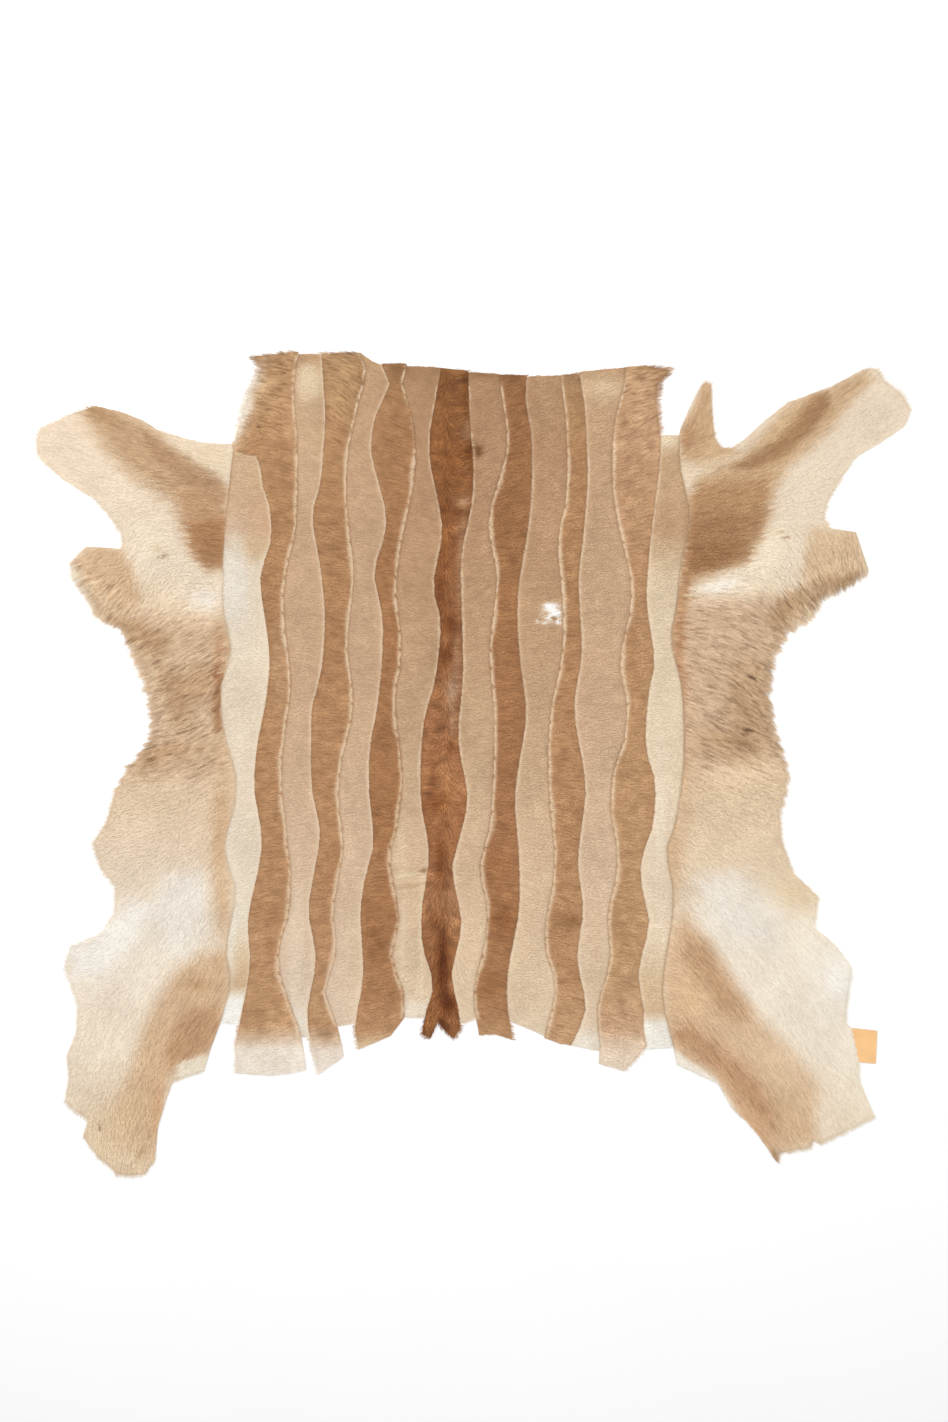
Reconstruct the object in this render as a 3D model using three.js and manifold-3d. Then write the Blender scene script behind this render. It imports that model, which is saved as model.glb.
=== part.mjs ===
// Hair-on cowhide rug, pieced from wavy light and dark strips between two flank panels that keep their legs.
// It lies flat with the hair up. Millimetres, +X to the right, +Y towards the neck, +Z up.
// The origin is on the floor under the middle of the rug.

import * as THREE from 'three';
import * as BufferGeometryUtils from 'three/addons/utils/BufferGeometryUtils.js';
import Module from 'manifold-3d';

// Driving dimensions
const HIDE_WIDTH = 1900; // from one foreleg's tip to the other's
const SEAM_GAP = 0.3; // between two pieces that butt together
const SEAM_HEIGHT = 3.4; // leather and the parted hair over a seam
const STRIP_HEIGHT = 6.4; // leather and the lying hair in the middle of a strip
const SPINE_HEIGHT = 8; // the spine strip has the fullest hair
const SHOULDER = 11; // how far from a seam the hair reaches its height
const END_HEIGHT = 2.6; // where a strip's end rolls down to the floor
const END_ROLL = 12; // length of that roll
const RIM_HEIGHT = 3.6; // outer edge of a flank panel
const FLANK_SHOULDER = 20; // how far inside its edges the hair of a flank reaches its height
const HAIR_CELL = 20; // the lying hair of a flank has a point about this often
const LAID_HEIGHT = 20; // no hair lies as high as this
const FLOOR_MARGIN = 1; // how far a cutting outline goes on below the floor
const LOCK_REACH = 6; // how far a lock of belly hair stands out of the rim
const LOCK_SPACING = 14; // about from a lock's tip to its foot, along the rim
const LOCK_HEIGHT = 8; // the rim has locks where the hair is at least this high
const UNEVENNESS = 0.5; // how much the lying hair rises and falls
const SWELLS = [61, 83, 47, 120]; // lengths that the long rise and fall is made of
const RIPPLES = [23, 31]; // and the short one, half as high
const TAB_THICKNESS = 1.5;
const TAB_TUCK = 11; // how far the tab reaches under the hide
const TAB_CORNER = 3; // radius of the tab's corners
const TAB_CORNER_STEPS = 4;
const TAB_CLEARANCE = 0.3;
const MERGE_DISTANCE = 1e-3; // points closer than this are one
const SMALLEST_AREA = 1e-3; // a triangle with less has no width
const ROW_MARGIN = 1.5; // a level row keeps this many grid steps to a strip's end
const SHORTEST_FAN = 0.5; // a strip's end starts to roll no earlier than this share past its last level row

// The cutting pattern is drawn on a square grid, across to the right and down from the neck.
const LEFT_TIP = 37; // grid column of the left foreleg's tip
const RIGHT_TIP = 911; // grid column of the right foreleg's tip
const STEP = HIDE_WIDTH / (RIGHT_TIP - LEFT_TIP); // millimetres to one step of the grid
const MIDDLE_COLUMN = (LEFT_TIP + RIGHT_TIP) / 2;
const MIDDLE_ROW = 764; // halfway between the neck and the hind feet

// Rows where both sides of every seam have a point, closer together at the neck's corners
const NECK_ROWS = [350, 357, 368, 384, 401, 416, 431, 446, 455, 470];
const ROW_SPACING = 18;
const LAST_ROW = 1082;

// Each seam's turns from the neck down, as [down, across]
const SEAMS = [
  [[444, 234], [498, 228], [546, 223.8], [590, 222.6], [615, 223.6], [643, 231], [664, 228], [688, 221],
    [730, 223.6], [776, 235.8], [807, 234.3], [840, 225], [856, 225], [892, 235.8], [950, 226], [985, 230.5],
    [1022, 220.5]],
  [[357, 254], [368, 261], [401, 246.5], [431, 237], [446, 235.5], [455, 256.8], [482, 261], [508, 269.7],
    [544, 270.2], [570, 261], [589, 260.7], [655, 269.5], [697, 266.4], [746, 257.2], [788, 254.2],
    [844, 261.8], [920, 248], [965, 249.8], [1026, 239], [1043, 235.7], [1073, 236]],
  [[351, 298.4], [394, 294], [445, 297.5], [527, 296], [575, 286], [615, 284], [685, 291], [743, 283.9],
    [782, 281.7], [831, 286.3], [874, 290.9], [917, 288.8], [945, 280], [973, 280.2], [1014, 293.7],
    [1032, 300.3], [1071, 307]],
  [[354, 321.4], [415, 325], [448, 323.3], [483, 320.5], [515, 312.3], [556, 318.5], [584, 322.4],
    [615, 324.6], [670, 321.5], [706, 312.3], [740, 310.8], [792, 312.3], [831, 320], [874, 313.9],
    [911, 308.4], [960, 315.8], [1015, 307], [1054, 314], [1074, 318.7]],
  [[352, 359.7], [369, 366.4], [380, 365.4], [407, 357.8], [455, 348.2], [498, 346.5], [568, 353.9],
    [585, 353.8], [646, 347.5], [697, 353.6], [727, 350.6], [764, 341.4], [807, 339], [844, 343.8],
    [880, 338.3], [914, 333.7], [955, 336], [993, 324.9], [1021, 335.7], [1057, 344.8]],
  [[364, 379.7], [382, 390], [413, 376.4], [442, 371], [462, 372.8], [513, 385.9], [536, 384.5],
    [573, 374], [609, 381.2], [646, 382.7], [712, 376.6], [743, 370.5], [788, 368.9], [844, 373.5],
    [880, 364.4], [915, 360.4], [957, 362.8], [985, 362.2], [1016, 356.4], [1030, 355], [1050, 358.9]],
  [[364, 407.4], [386, 403], [413, 411.7], [448, 415.6], [479, 414.6], [551, 400.5], [594, 396.5],
    [631, 401], [669, 400.5], [700, 395], [773, 402.6], [825, 398], [856, 390.4], [922, 399.6],
    [956, 392.5], [997, 405.3], [1018, 403.6]],
  [[367, 441.4], [401, 435.7], [432, 430.4], [462, 430.6], [529, 442.4], [587, 433.8], [621, 440.9],
    [684, 434.8], [715, 425.6], [752, 421.6], [804, 421.6], [843, 428.6], [868, 428.6], [905, 422.5],
    [945, 422.5], [975, 431.7], [1000, 431.9], [1014, 424.9], [1030, 422.4]],
  [[370, 467.7], [415, 469], [478, 473], [510, 470], [554, 460.8], [600, 460.8], [675, 462.3],
    [740, 457.7], [798, 466.9], [838, 459], [868, 451.6], [923, 460.8], [978, 451], [1003, 457.2],
    [1029, 460.5]],
  [[374, 497.8], [426, 505.4], [455, 505], [514, 488.5], [541, 489.4], [577, 496.6], [610, 493],
    [655, 489], [720, 493.6], [780, 492.4], [828, 488.5], [870, 478.6], [900, 485.5], [936, 485.5],
    [981, 474.6], [996, 473.4], [1014, 474.2], [1036, 480.4]],
  [[375, 527], [397, 525], [436, 531.3], [490, 531.3], [532, 527.4], [574, 520], [610, 517],
    [655, 519.4], [714, 526], [756, 520], [798, 514.6], [852, 518.5], [912, 518.5], [969, 508],
    [1005, 507], [1040, 513.2]],
  [[375, 559.5], [416, 564.8], [462, 566.6], [502, 565], [538, 557.4], [610, 562.5], [655, 561.3],
    [711, 550], [759, 547.5], [810, 549.3], [846, 553.5], [882, 552.3], [924, 544.8], [954, 545.4],
    [981, 554.7], [1001, 553], [1039, 543]],
  [[373, 578.6], [405, 584.4], [470, 587.4], [490, 587], [538, 582.9], [580, 578.4], [655, 581.4],
    [708, 574], [786, 585.3], [837, 580], [864, 577.5], [910, 582.9], [958, 577], [1011, 585.4],
    [1045, 570.5]],
  [[367, 624], [390, 623], [407, 617.3], [441, 612], [469, 611.6], [496, 612.9], [538, 620.4],
    [574, 629.4], [610, 629.4], [664, 618.9], [699, 625.8], [741, 623.4], [771, 612.9], [810, 609.9],
    [852, 616.5], [882, 614.4], [915, 606.9], [960, 609.3], [1011, 596.2], [1043, 599.9], [1063, 598.7]],
  [[370, 672], [384, 658], [401, 656.5], [436, 660.3], [466, 659.4], [526, 651.9], [562, 648.3],
    [604, 646.5], [661, 654.3], [689, 649.3], [720, 645.9], [750, 645.9], [783, 654.9], [828, 651.9],
    [858, 641.4], [888, 641.4], [921, 648.9], [975, 638], [1010, 643.8], [1028, 643], [1046, 646],
    [1064, 632]],
  [[433, 679.7], [469, 680.3], [514, 689.3], [568, 680.3], [610, 675.8], [640, 670.7], [680, 680.3],
    [714, 683.3], [765, 683.3], [822, 675.8], [852, 666.2], [882, 672.2], [918, 672.2], [969, 663.8],
    [1001, 662.9], [1050, 674]],
];

// Strips from the left flank to the right one, each with the seam on its left.
// An end is its outline from the left edge, 0, to the right edge, 1, as [share of the width, down].
const LIGHT = '#cfac82';
const DARK = '#b3855b';
const SPINE = '#96592f';
const FLANK = '#d9bd97';
const TAB = '#e8b878';
const HAIR_ROUGHNESS = 0.85;
const TAB_ROUGHNESS = 0.5;
const STRIPS = [
  { name: 'light_strip_1', seam: 0, colour: LIGHT,
    neck: [[0, 446.2], [1, 455.2]], tail: [[0, 1022], [1, 1024.7]] },
  { name: 'dark_strip_1', seam: 1, colour: DARK,
    neck: [[0, 357], [1, 351.5]], tail: [[0, 1073], [0.6, 1076], [1, 1070]] },
  { name: 'light_strip_2', seam: 2, colour: LIGHT,
    neck: [[0, 354.5], [1, 354]], tail: [[0, 1037], [1, 1037]] },
  { name: 'dark_strip_2', seam: 3, colour: DARK,
    neck: [[0, 354], [1, 352.4]], tail: [[0, 1075], [0.4, 1068], [1, 1056.6]] },
  { name: 'light_strip_3', seam: 4, colour: LIGHT,
    neck: [[0, 353], [0.6, 362.5], [1, 364.5]], tail: [[0, 1026], [1, 1023.4]] },
  { name: 'dark_strip_3', seam: 5, colour: DARK,
    neck: [[0, 364], [1, 363.5]], tail: [[0, 1049.6], [0.8, 1034.6], [1, 1018]] },
  { name: 'light_strip_4_neck', seam: 6, colour: LIGHT,
    neck: [[0, 366], [1, 367.5]], tail: [[0, 880], [1, 874]] },
  { name: 'light_strip_4_tail', seam: 6, colour: LIGHT,
    neck: [[0, 880.2], [1, 874.2]], tail: [[0, 1017], [1, 1017]] },
  { name: 'spine_strip', seam: 7, colour: SPINE, height: SPINE_HEIGHT, across: [0.22, 0.38, 0.5, 0.78],
    neck: [[0, 367.7], [1, 370.6]],
    tail: [[0, 1035], [0.22, 1038], [0.26, 1030], [0.38, 1021], [0.5, 1027], [0.78, 1038], [0.92, 1038],
      [1, 1028]] },
  { name: 'light_strip_5', seam: 8, colour: LIGHT,
    neck: [[0, 372], [1, 374]], tail: [[0, 1024], [1, 1017]] },
  { name: 'dark_strip_4', seam: 9, colour: DARK,
    neck: [[0, 374.5], [1, 375]], tail: [[0, 1035.5], [0.4, 1033], [1, 1040]] },
  { name: 'light_strip_6', seam: 10, colour: LIGHT,
    neck: [[0, 376.5], [1, 375.5]], tail: [[0, 1021.4], [1, 1036.3]] },
  { name: 'dark_strip_5', seam: 11, colour: DARK,
    neck: [[0, 375], [1, 373.4]], tail: [[0, 1038], [0.5, 1043], [1, 1045.2]] },
  { name: 'light_strip_7', seam: 12, colour: LIGHT,
    neck: [[0, 372], [1, 367.7]], tail: [[0, 1045.4], [1, 1050.8]] },
  { name: 'dark_strip_6', seam: 13, colour: DARK,
    neck: [[0, 367], [0.5, 366.5], [1, 370]], tail: [[0, 1063.6], [0.8, 1071.5], [1, 1058]] },
  { name: 'light_strip_8', seam: 14, colour: LIGHT,
    neck: [[0, 435.3], [1, 435.3]], tail: [[0, 1049.6], [1, 1047]] },
];

// Rim of each flank from the top of its seam, round the legs and the belly, to its foot, as [across, down]
const LEFT_RIM = [
  [234, 444], [204, 443], [185, 438.6], [158, 430], [142, 420], [121, 412], [95, 406], [67, 416],
  [40, 429], [37, 441], [37.5, 453], [42, 460], [63, 479], [95, 499], [109, 514.5], [121, 532],
  [123, 549], [104, 547.5], [86, 546.6], [74, 559], [76.6, 576], [93.5, 600], [102.6, 615.5], [124, 625],
  [136, 646], [148.6, 677], [152, 691], [157.7, 718], [156, 740], [142, 758], [130, 770], [115, 795],
  [107, 822], [93.5, 843.6], [101, 868], [115.5, 886.5], [115, 911], [102.6, 932], [70.5, 947],
  [65, 967], [78, 1004], [76.6, 1032], [67.4, 1055], [69.6, 1077.5], [65, 1102], [74, 1110], [86, 1118],
  [88, 1121], [83, 1136], [98, 1157], [112, 1168], [117, 1174], [130, 1175.5], [144, 1174],
  [154.7, 1160], [157.7, 1126.5], [167, 1096], [173, 1080.6], [188, 1076], [204, 1071.4], [210, 1050],
  [220.5, 1022],
];
const RIGHT_RIM = [
  [679.7, 433], [681, 428], [688, 412], [697, 393], [702, 384.5], [707, 382.5], [711, 385.5],
  [711.5, 400], [713, 425], [715, 438], [721, 447.5], [731, 448.5], [745, 439], [760, 425], [787, 403],
  [820, 391], [832, 386.5], [863, 370], [870, 368.5], [878, 370], [884, 380.5], [902, 394], [911, 410],
  [903.6, 427], [880, 443], [856, 457], [841, 478], [827, 502], [823.6, 517], [830, 528], [856, 532],
  [863, 553], [868, 568], [850, 580], [820, 595], [805, 616], [784, 628], [770, 652], [766, 670],
  [764, 690], [769, 729], [778, 753], [787, 780], [779, 810], [781, 840], [793, 873], [818, 897],
  [814, 927], [835, 945], [851, 966], [851, 975], [847, 1002], [846, 1023], [851, 1028], [858.7, 1062],
  [859, 1080], [874.6, 1117], [847, 1131], [820, 1144], [814, 1140], [809, 1148], [794, 1150.5],
  [780, 1152.7], [778, 1163], [760, 1137], [745, 1119], [731, 1107], [718, 1083], [696, 1073.6],
  [688, 1069], [677, 1065], [674, 1050],
];

// How high the hair of a flank lies, near the seam and near the rim, as [down, inner, outer]
const FLANK_HEIGHTS = [
  [433, 6.2, 4.6], [540, 6.8, 5], [570, 7, 7], [640, 7.5, 10.5], [700, 8, 11.5], [765, 7.5, 9.5],
  [835, 6.6, 6.4], [911, 6.2, 5.4], [1020, 6, 5], [1176, 5.6, 4.6],
];

// Leather tab on the right hind leg, as [across, down] of its four corners. The first two lie under the hide.
const TAB_CORNERS = [[858.7, 1062], [850.6, 1027.4], [877.6, 1031], [876, 1064]];

const lerp = THREE.MathUtils.lerp;
const last = (list) => list[list.length - 1];
const easeUp = (share) => Math.sin(THREE.MathUtils.clamp(share, -1, 1) * Math.PI / 2);

/** Height in a table of [key, value, ...] rows, straight between the rows. */
function lookUp(table, key, column = 1) {
  if (key <= table[0][0]) return table[0][column];
  for (let i = 1; i < table.length; i += 1) {
    const [before, after] = [table[i - 1], table[i]];
    if (key <= after[0]) return lerp(before[column], after[column], (key - before[0]) / (after[0] - before[0]));
  }
  return last(table)[column];
}

/** Where a seam runs at this row: a smooth curve through its turns, with the mean slope at each turn. */
function smoothAcross(turns, down) {
  const slope = (i) => {
    const [before, after] = [turns[Math.max(i - 1, 0)], turns[Math.min(i + 1, turns.length - 1)]];
    return (after[1] - before[1]) / (after[0] - before[0]);
  };
  if (down <= turns[0][0]) return turns[0][1];
  if (down >= last(turns)[0]) return last(turns)[1];
  const i = turns.findIndex((turn) => turn[0] > down) - 1;
  const length = turns[i + 1][0] - turns[i][0];
  const t = (down - turns[i][0]) / length;
  const start = (1 + 2 * t) * (1 - t) ** 2 * turns[i][1] + t * (1 - t) ** 2 * length * slope(i);
  return start + t * t * (3 - 2 * t) * turns[i + 1][1] - t * t * (1 - t) * length * slope(i + 1);
}

/** Rows where every seam has a point. */
function seamRows() {
  const rows = [...NECK_ROWS];
  while (last(rows) < LAST_ROW) rows.push(last(rows) + ROW_SPACING);
  return rows;
}
const ROWS = seamRows();
const SEWN = SEAMS.map((turns) => ROWS.map((down) => [down, smoothAcross(turns, down)]));
const onSeam = (seam, down) => lookUp(SEWN[seam], down);

/** A point of the pattern at its real place, shifted sideways by some millimetres. */
function place(across, down, shift = 0) {
  return new THREE.Vector3((across - MIDDLE_COLUMN) * STEP + shift, (MIDDLE_ROW - down) * STEP, 0);
}

/** Rise and fall of the lying hair, the same for neighbours. */
function uneven({ x, y }) {
  const swell = Math.sin(x / SWELLS[0] + y / SWELLS[1]) * Math.cos(y / SWELLS[2] - x / SWELLS[3]);
  return UNEVENNESS * (swell + Math.sin(x / RIPPLES[0] - y / RIPPLES[1]) / 2);
}

/** Triangles between two rows of points, which may differ in number. */
function band(a, b, points) {
  const [endA, endB] = [a.length - 1, b.length - 1];
  let [i, j] = [0, 0];
  while (i < endA || j < endB) {
    const alongA = j === endB || (i < endA && (i + 1) / endA <= (j + 1) / endB);
    points.push(a[i], b[j], alongA ? a[i + 1] : b[j + 1]);
    if (alongA) i += 1;
    else j += 1;
  }
}

/** Closed solid between an upper and an under side. Their rows run down the hide, each row to the right. */
function sheetGeometry(upper, under) {
  const points = [];
  for (let i = 1; i < upper.length; i += 1) band(upper[i - 1], upper[i], points);
  for (let i = 1; i < under.length; i += 1) band(under[i], under[i - 1], points);
  band(upper.map((row) => row[0]), under.map((row) => row[0]), points);
  band(under.map(last), upper.map(last), points);
  band(under[0], upper[0], points);
  band(last(upper), last(under), points);
  return closed(points);
}

/** Merges the corners of loose triangles, and drops the triangles that have no width. */
function closed(points) {
  const kept = [];
  for (let i = 0; i < points.length; i += 3) {
    const triangle = new THREE.Triangle(...points.slice(i, i + 3));
    if (triangle.getArea() > SMALLEST_AREA) kept.push(triangle.a, triangle.b, triangle.c);
  }
  const loose = new THREE.BufferGeometry().setFromPoints(kept);
  const geometry = BufferGeometryUtils.mergeVertices(loose, MERGE_DISTANCE);
  geometry.computeVertexNormals();
  return geometry;
}

/** Height of the hair at these distances from a seam or rim and from a rolled end. */
function crowned(edge, full, toSide, shoulder, toEnd = END_ROLL) {
  const height = edge + (full - edge) * easeUp(toSide / shoulder);
  return END_HEIGHT + (height - END_HEIGHT) * easeUp(toEnd / END_ROLL);
}

/** How far down each row of a strip lies at these shares of its width, from the neck end to the tail end. */
function stripRows({ neck, tail }, shares) {
  const ends = [neck, tail].map((profile) => shares.map((share) => lookUp(profile, share)));
  const [first, final] = [Math.max(...ends[0]) + ROW_MARGIN, Math.min(...ends[1]) - ROW_MARGIN];
  const level = ROWS.filter((down) => down > first && down < final);
  // Past the level rows the shorter side closes up, and the longer side still has a point on every row.
  const fan = (end, from) => {
    const longest = end.reduce((most, down) => (Math.abs(down - from) > Math.abs(most - from) ? down : most));
    const passed = ROWS.filter((down) => (down - from) * (down - longest) < 0);
    const roll = Math.max(1 - END_ROLL / STEP / Math.abs(longest - from), SHORTEST_FAN);
    const steps = [...passed.map((down) => (down - from) / (longest - from)), roll, 1].sort((a, b) => a - b);
    return steps.map((step) => end.map((down) => lerp(from, down, step)));
  };
  return [
    ...fan(ends[0], level[0]).reverse(),
    ...level.map((down) => shares.map(() => down)),
    ...fan(ends[1], last(level)),
  ];
}

/** One strip between its two seams, crowned across and rolled down at its ends. */
function stripGeometry(strip) {
  const { seam, height = STRIP_HEIGHT, across = [0.5] } = strip;
  const width = (down) => onSeam(seam + 1, down) - onSeam(seam, down);
  const shoulder = SHOULDER / STEP / width((strip.neck[0][1] + strip.tail[0][1]) / 2);
  const shares = [0, shoulder, ...across, 1 - shoulder, 1].sort((a, b) => a - b);
  const rows = stripRows(strip, shares);
  const point = (down, k) => {
    const side = lerp(onSeam(seam, down), onSeam(seam + 1, down), shares[k]);
    return place(side, down, lerp(SEAM_GAP / 2, -SEAM_GAP / 2, shares[k]));
  };
  const upper = rows.map((row) => row.map((down, k) => {
    const toSide = Math.min(shares[k], 1 - shares[k]) * width(down) * STEP;
    const toEnd = Math.min(Math.abs(down - rows[0][k]), Math.abs(down - last(rows)[k])) * STEP;
    const at = point(down, k);
    at.z = crowned(SEAM_HEIGHT, height + uneven(at), toSide, SHOULDER, toEnd);
    return at;
  }));
  // Under the strip a level row needs no points between its edges.
  const isLevel = (row) => row.every((down) => down === row[0]);
  const isEdge = (k) => k === 0 || k === shares.length - 1;
  const under = rows.map((row) => row.map(point).filter((at, k) => !isLevel(row) || isEdge(k)));
  return sheetGeometry(upper, under);
}

/** A flank's outline, down its seam and back along its rim, with locks of belly hair standing out. */
function flankOutline(rim, seam, away) {
  const edge = rim.map(([across, down]) => place(across, down)).reverse();
  const isBeside = (down) => down > rim[0][1] && down < last(rim)[1];
  const sewn = ROWS.filter(isBeside).map((down) => place(onSeam(seam, down), down, away * SEAM_GAP / 2));
  const outline = [...sewn, edge[0]];
  for (let i = 1; i < edge.length; i += 1) {
    const along = edge[i].clone().sub(edge[i - 1]);
    const down = MIDDLE_ROW - (edge[i].y + edge[i - 1].y) / 2 / STEP;
    const count = lookUp(FLANK_HEIGHTS, down, 2) > LOCK_HEIGHT ? Math.ceil(along.length() / LOCK_SPACING) : 1;
    const outward = new THREE.Vector3(along.y, -along.x, 0).setLength(away * LOCK_REACH);
    for (let k = 1; k <= count; k += 1) {
      const at = edge[i - 1].clone().addScaledVector(along, k / count);
      outline.push(k < count && k % 2 ? at.add(outward) : at);
    }
  }
  return outline;
}

/** How far a point lies inside a closed outline, less than nothing outside it. */
function depthInside(outline, at) {
  let nearest = Infinity;
  let inside = false;
  outline.forEach((a, i) => {
    const b = outline[(i + 1) % outline.length];
    const foot = new THREE.Line3(a, b).closestPointToPoint(at, true, new THREE.Vector3());
    nearest = Math.min(nearest, foot.distanceTo(at));
    const passes = (a.y > at.y) !== (b.y > at.y) && at.x < lerp(a.x, b.x, (at.y - a.y) / (b.y - a.y));
    if (passes) inside = !inside;
  });
  return inside ? nearest : -nearest;
}

/** Lying hair as a closed block over the box round an outline. */
function hairBlock(outline, heightAt) {
  const box = new THREE.Box3().setFromPoints(outline).expandByScalar(HAIR_CELL);
  const size = box.getSize(new THREE.Vector3());
  const cells = (length) => Math.ceil(length / HAIR_CELL);
  const shares = (count) => Array.from({ length: count + 1 }, (_, i) => i / count);
  const at = (u, v) => new THREE.Vector3(lerp(box.min.x, box.max.x, u), lerp(box.max.y, box.min.y, v), 0);
  const raised = (point) => point.setZ(heightAt(point));
  const upper = shares(cells(size.y)).map((v) => shares(cells(size.x)).map((u) => raised(at(u, v))));
  const under = shares(1).map((v) => shares(1).map((u) => at(u, v)));
  return sheetGeometry(upper, under);
}

/** A flank panel with its fore and hind leg. away is -1 on the left of the rug and 1 on the right. */
function flankSolid(rim, seam, away) {
  const outline = flankOutline(rim, seam, away);
  const edge = rim.map(([across, down]) => place(across, down));
  const withinRim = [...edge, place(MIDDLE_COLUMN, last(rim)[1]), place(MIDDLE_COLUMN, rim[0][1])];
  const heightAt = (at) => {
    const down = MIDDLE_ROW - at.y / STEP;
    const toSeam = away * (at.x - place(onSeam(seam, down), down).x);
    const toRim = depthInside(withinRim, at);
    const [inner, outer] = [1, 2].map((column) => lookUp(FLANK_HEIGHTS, down, column));
    const outwards = THREE.MathUtils.clamp(toSeam / Math.max(toSeam + toRim, HAIR_CELL), 0, 1);
    const full = lerp(inner, outer, outwards) + uneven(at);
    const beside = Math.min(
      crowned(SEAM_HEIGHT, full, toSeam, FLANK_SHOULDER),
      crowned(RIM_HEIGHT, full, toRim, FLANK_SHOULDER),
    );
    return Math.max(beside, END_HEIGHT);
  };
  const settings = { depth: LAID_HEIGHT + FLOOR_MARGIN, bevelEnabled: false };
  const prism = new THREE.ExtrudeGeometry(new THREE.Shape(outline), settings).translate(0, 0, -FLOOR_MARGIN);
  return solidOf(prism).intersect(solidOf(hairBlock(outline, heightAt)));
}

/** The tab's outline with rounded corners, grown all round by some millimetres. */
function tabShape(grown = 0) {
  const corners = TAB_CORNERS.map(([across, down], i) => place(across, down, i < 2 ? -TAB_TUCK : 0));
  const sum = corners.reduce((total, corner) => total.add(corner), new THREE.Vector3());
  const middle = sum.divideScalar(corners.length);
  const scale = 1 + grown / corners[0].distanceTo(middle);
  const grow = (corner) => corner.clone().sub(middle).multiplyScalar(scale).add(middle);
  const shape = new THREE.Shape();
  corners.map(grow).forEach((corner, i, all) => {
    const [before, after] = [all.at(i - 1), all[(i + 1) % all.length]];
    const towards = (other) => corner.clone().add(other.clone().sub(corner).setLength(TAB_CORNER));
    const [start, end] = [towards(before), towards(after)];
    if (i === 0) shape.moveTo(start.x, start.y);
    else shape.lineTo(start.x, start.y);
    shape.quadraticCurveTo(corner.x, corner.y, end.x, end.y);
  });
  shape.closePath();
  return shape;
}

/** The tab as a solid, or with growth the pocket that it needs under the hide. */
function tabGeometry(grown = 0) {
  const settings = { depth: TAB_THICKNESS + grown * 2, bevelEnabled: false, curveSegments: TAB_CORNER_STEPS };
  return new THREE.ExtrudeGeometry(tabShape(grown), settings).translate(0, 0, -grown);
}

const wasm = await Module();
wasm.setup();

function solidOf(geometry) {
  const bare = geometry.clone();
  bare.deleteAttribute('normal');
  bare.deleteAttribute('uv');
  const merged = BufferGeometryUtils.mergeVertices(bare, MERGE_DISTANCE);
  const vertProperties = merged.attributes.position.array;
  const triVerts = new Uint32Array(merged.index.array);
  return new wasm.Manifold(new wasm.Mesh({ numProp: 3, vertProperties, triVerts }));
}

function geometryOf(solid) {
  const mesh = solid.getMesh();
  const geometry = new THREE.BufferGeometry();
  geometry.setAttribute('position', new THREE.BufferAttribute(mesh.vertProperties, mesh.numProp));
  geometry.setIndex(new THREE.BufferAttribute(mesh.triVerts, 1));
  geometry.computeVertexNormals();
  return geometry;
}

function piece(name, geometry, colour, roughness) {
  const material = new THREE.MeshStandardMaterial({ color: colour, roughness, metalness: 0 });
  const mesh = new THREE.Mesh(geometry, material);
  mesh.name = name;
  return mesh;
}

const leftFlank = flankSolid(LEFT_RIM, 0, -1);
const rightFlank = flankSolid(RIGHT_RIM, SEAMS.length - 1, 1).subtract(solidOf(tabGeometry(TAB_CLEARANCE)));
const rug = new THREE.Group();
rug.add(piece('left_flank', geometryOf(leftFlank), FLANK, HAIR_ROUGHNESS));
STRIPS.forEach((strip) => rug.add(piece(strip.name, stripGeometry(strip), strip.colour, HAIR_ROUGHNESS)));
rug.add(piece('right_flank', geometryOf(rightFlank), FLANK, HAIR_ROUGHNESS));
rug.add(piece('leather_tab', tabGeometry(), TAB, TAB_ROUGHNESS));

// The middle of the rug's outline comes over the origin.
const middle = new THREE.Box3().setFromObject(rug).getCenter(new THREE.Vector3());
rug.position.set(-middle.x, -middle.y, 0);

export default rug;
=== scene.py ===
"""Looks of a hair-on cowhide rug: hide panels, lying hair, seams' stitching, leather tab and studio.

The rug lies flat with the hair up, neck towards +Y. Its hide was drawn on a square cutting grid, across to
the right and down from the neck, and the tables of markings and hair directions below use that grid.
"""
import math

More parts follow.
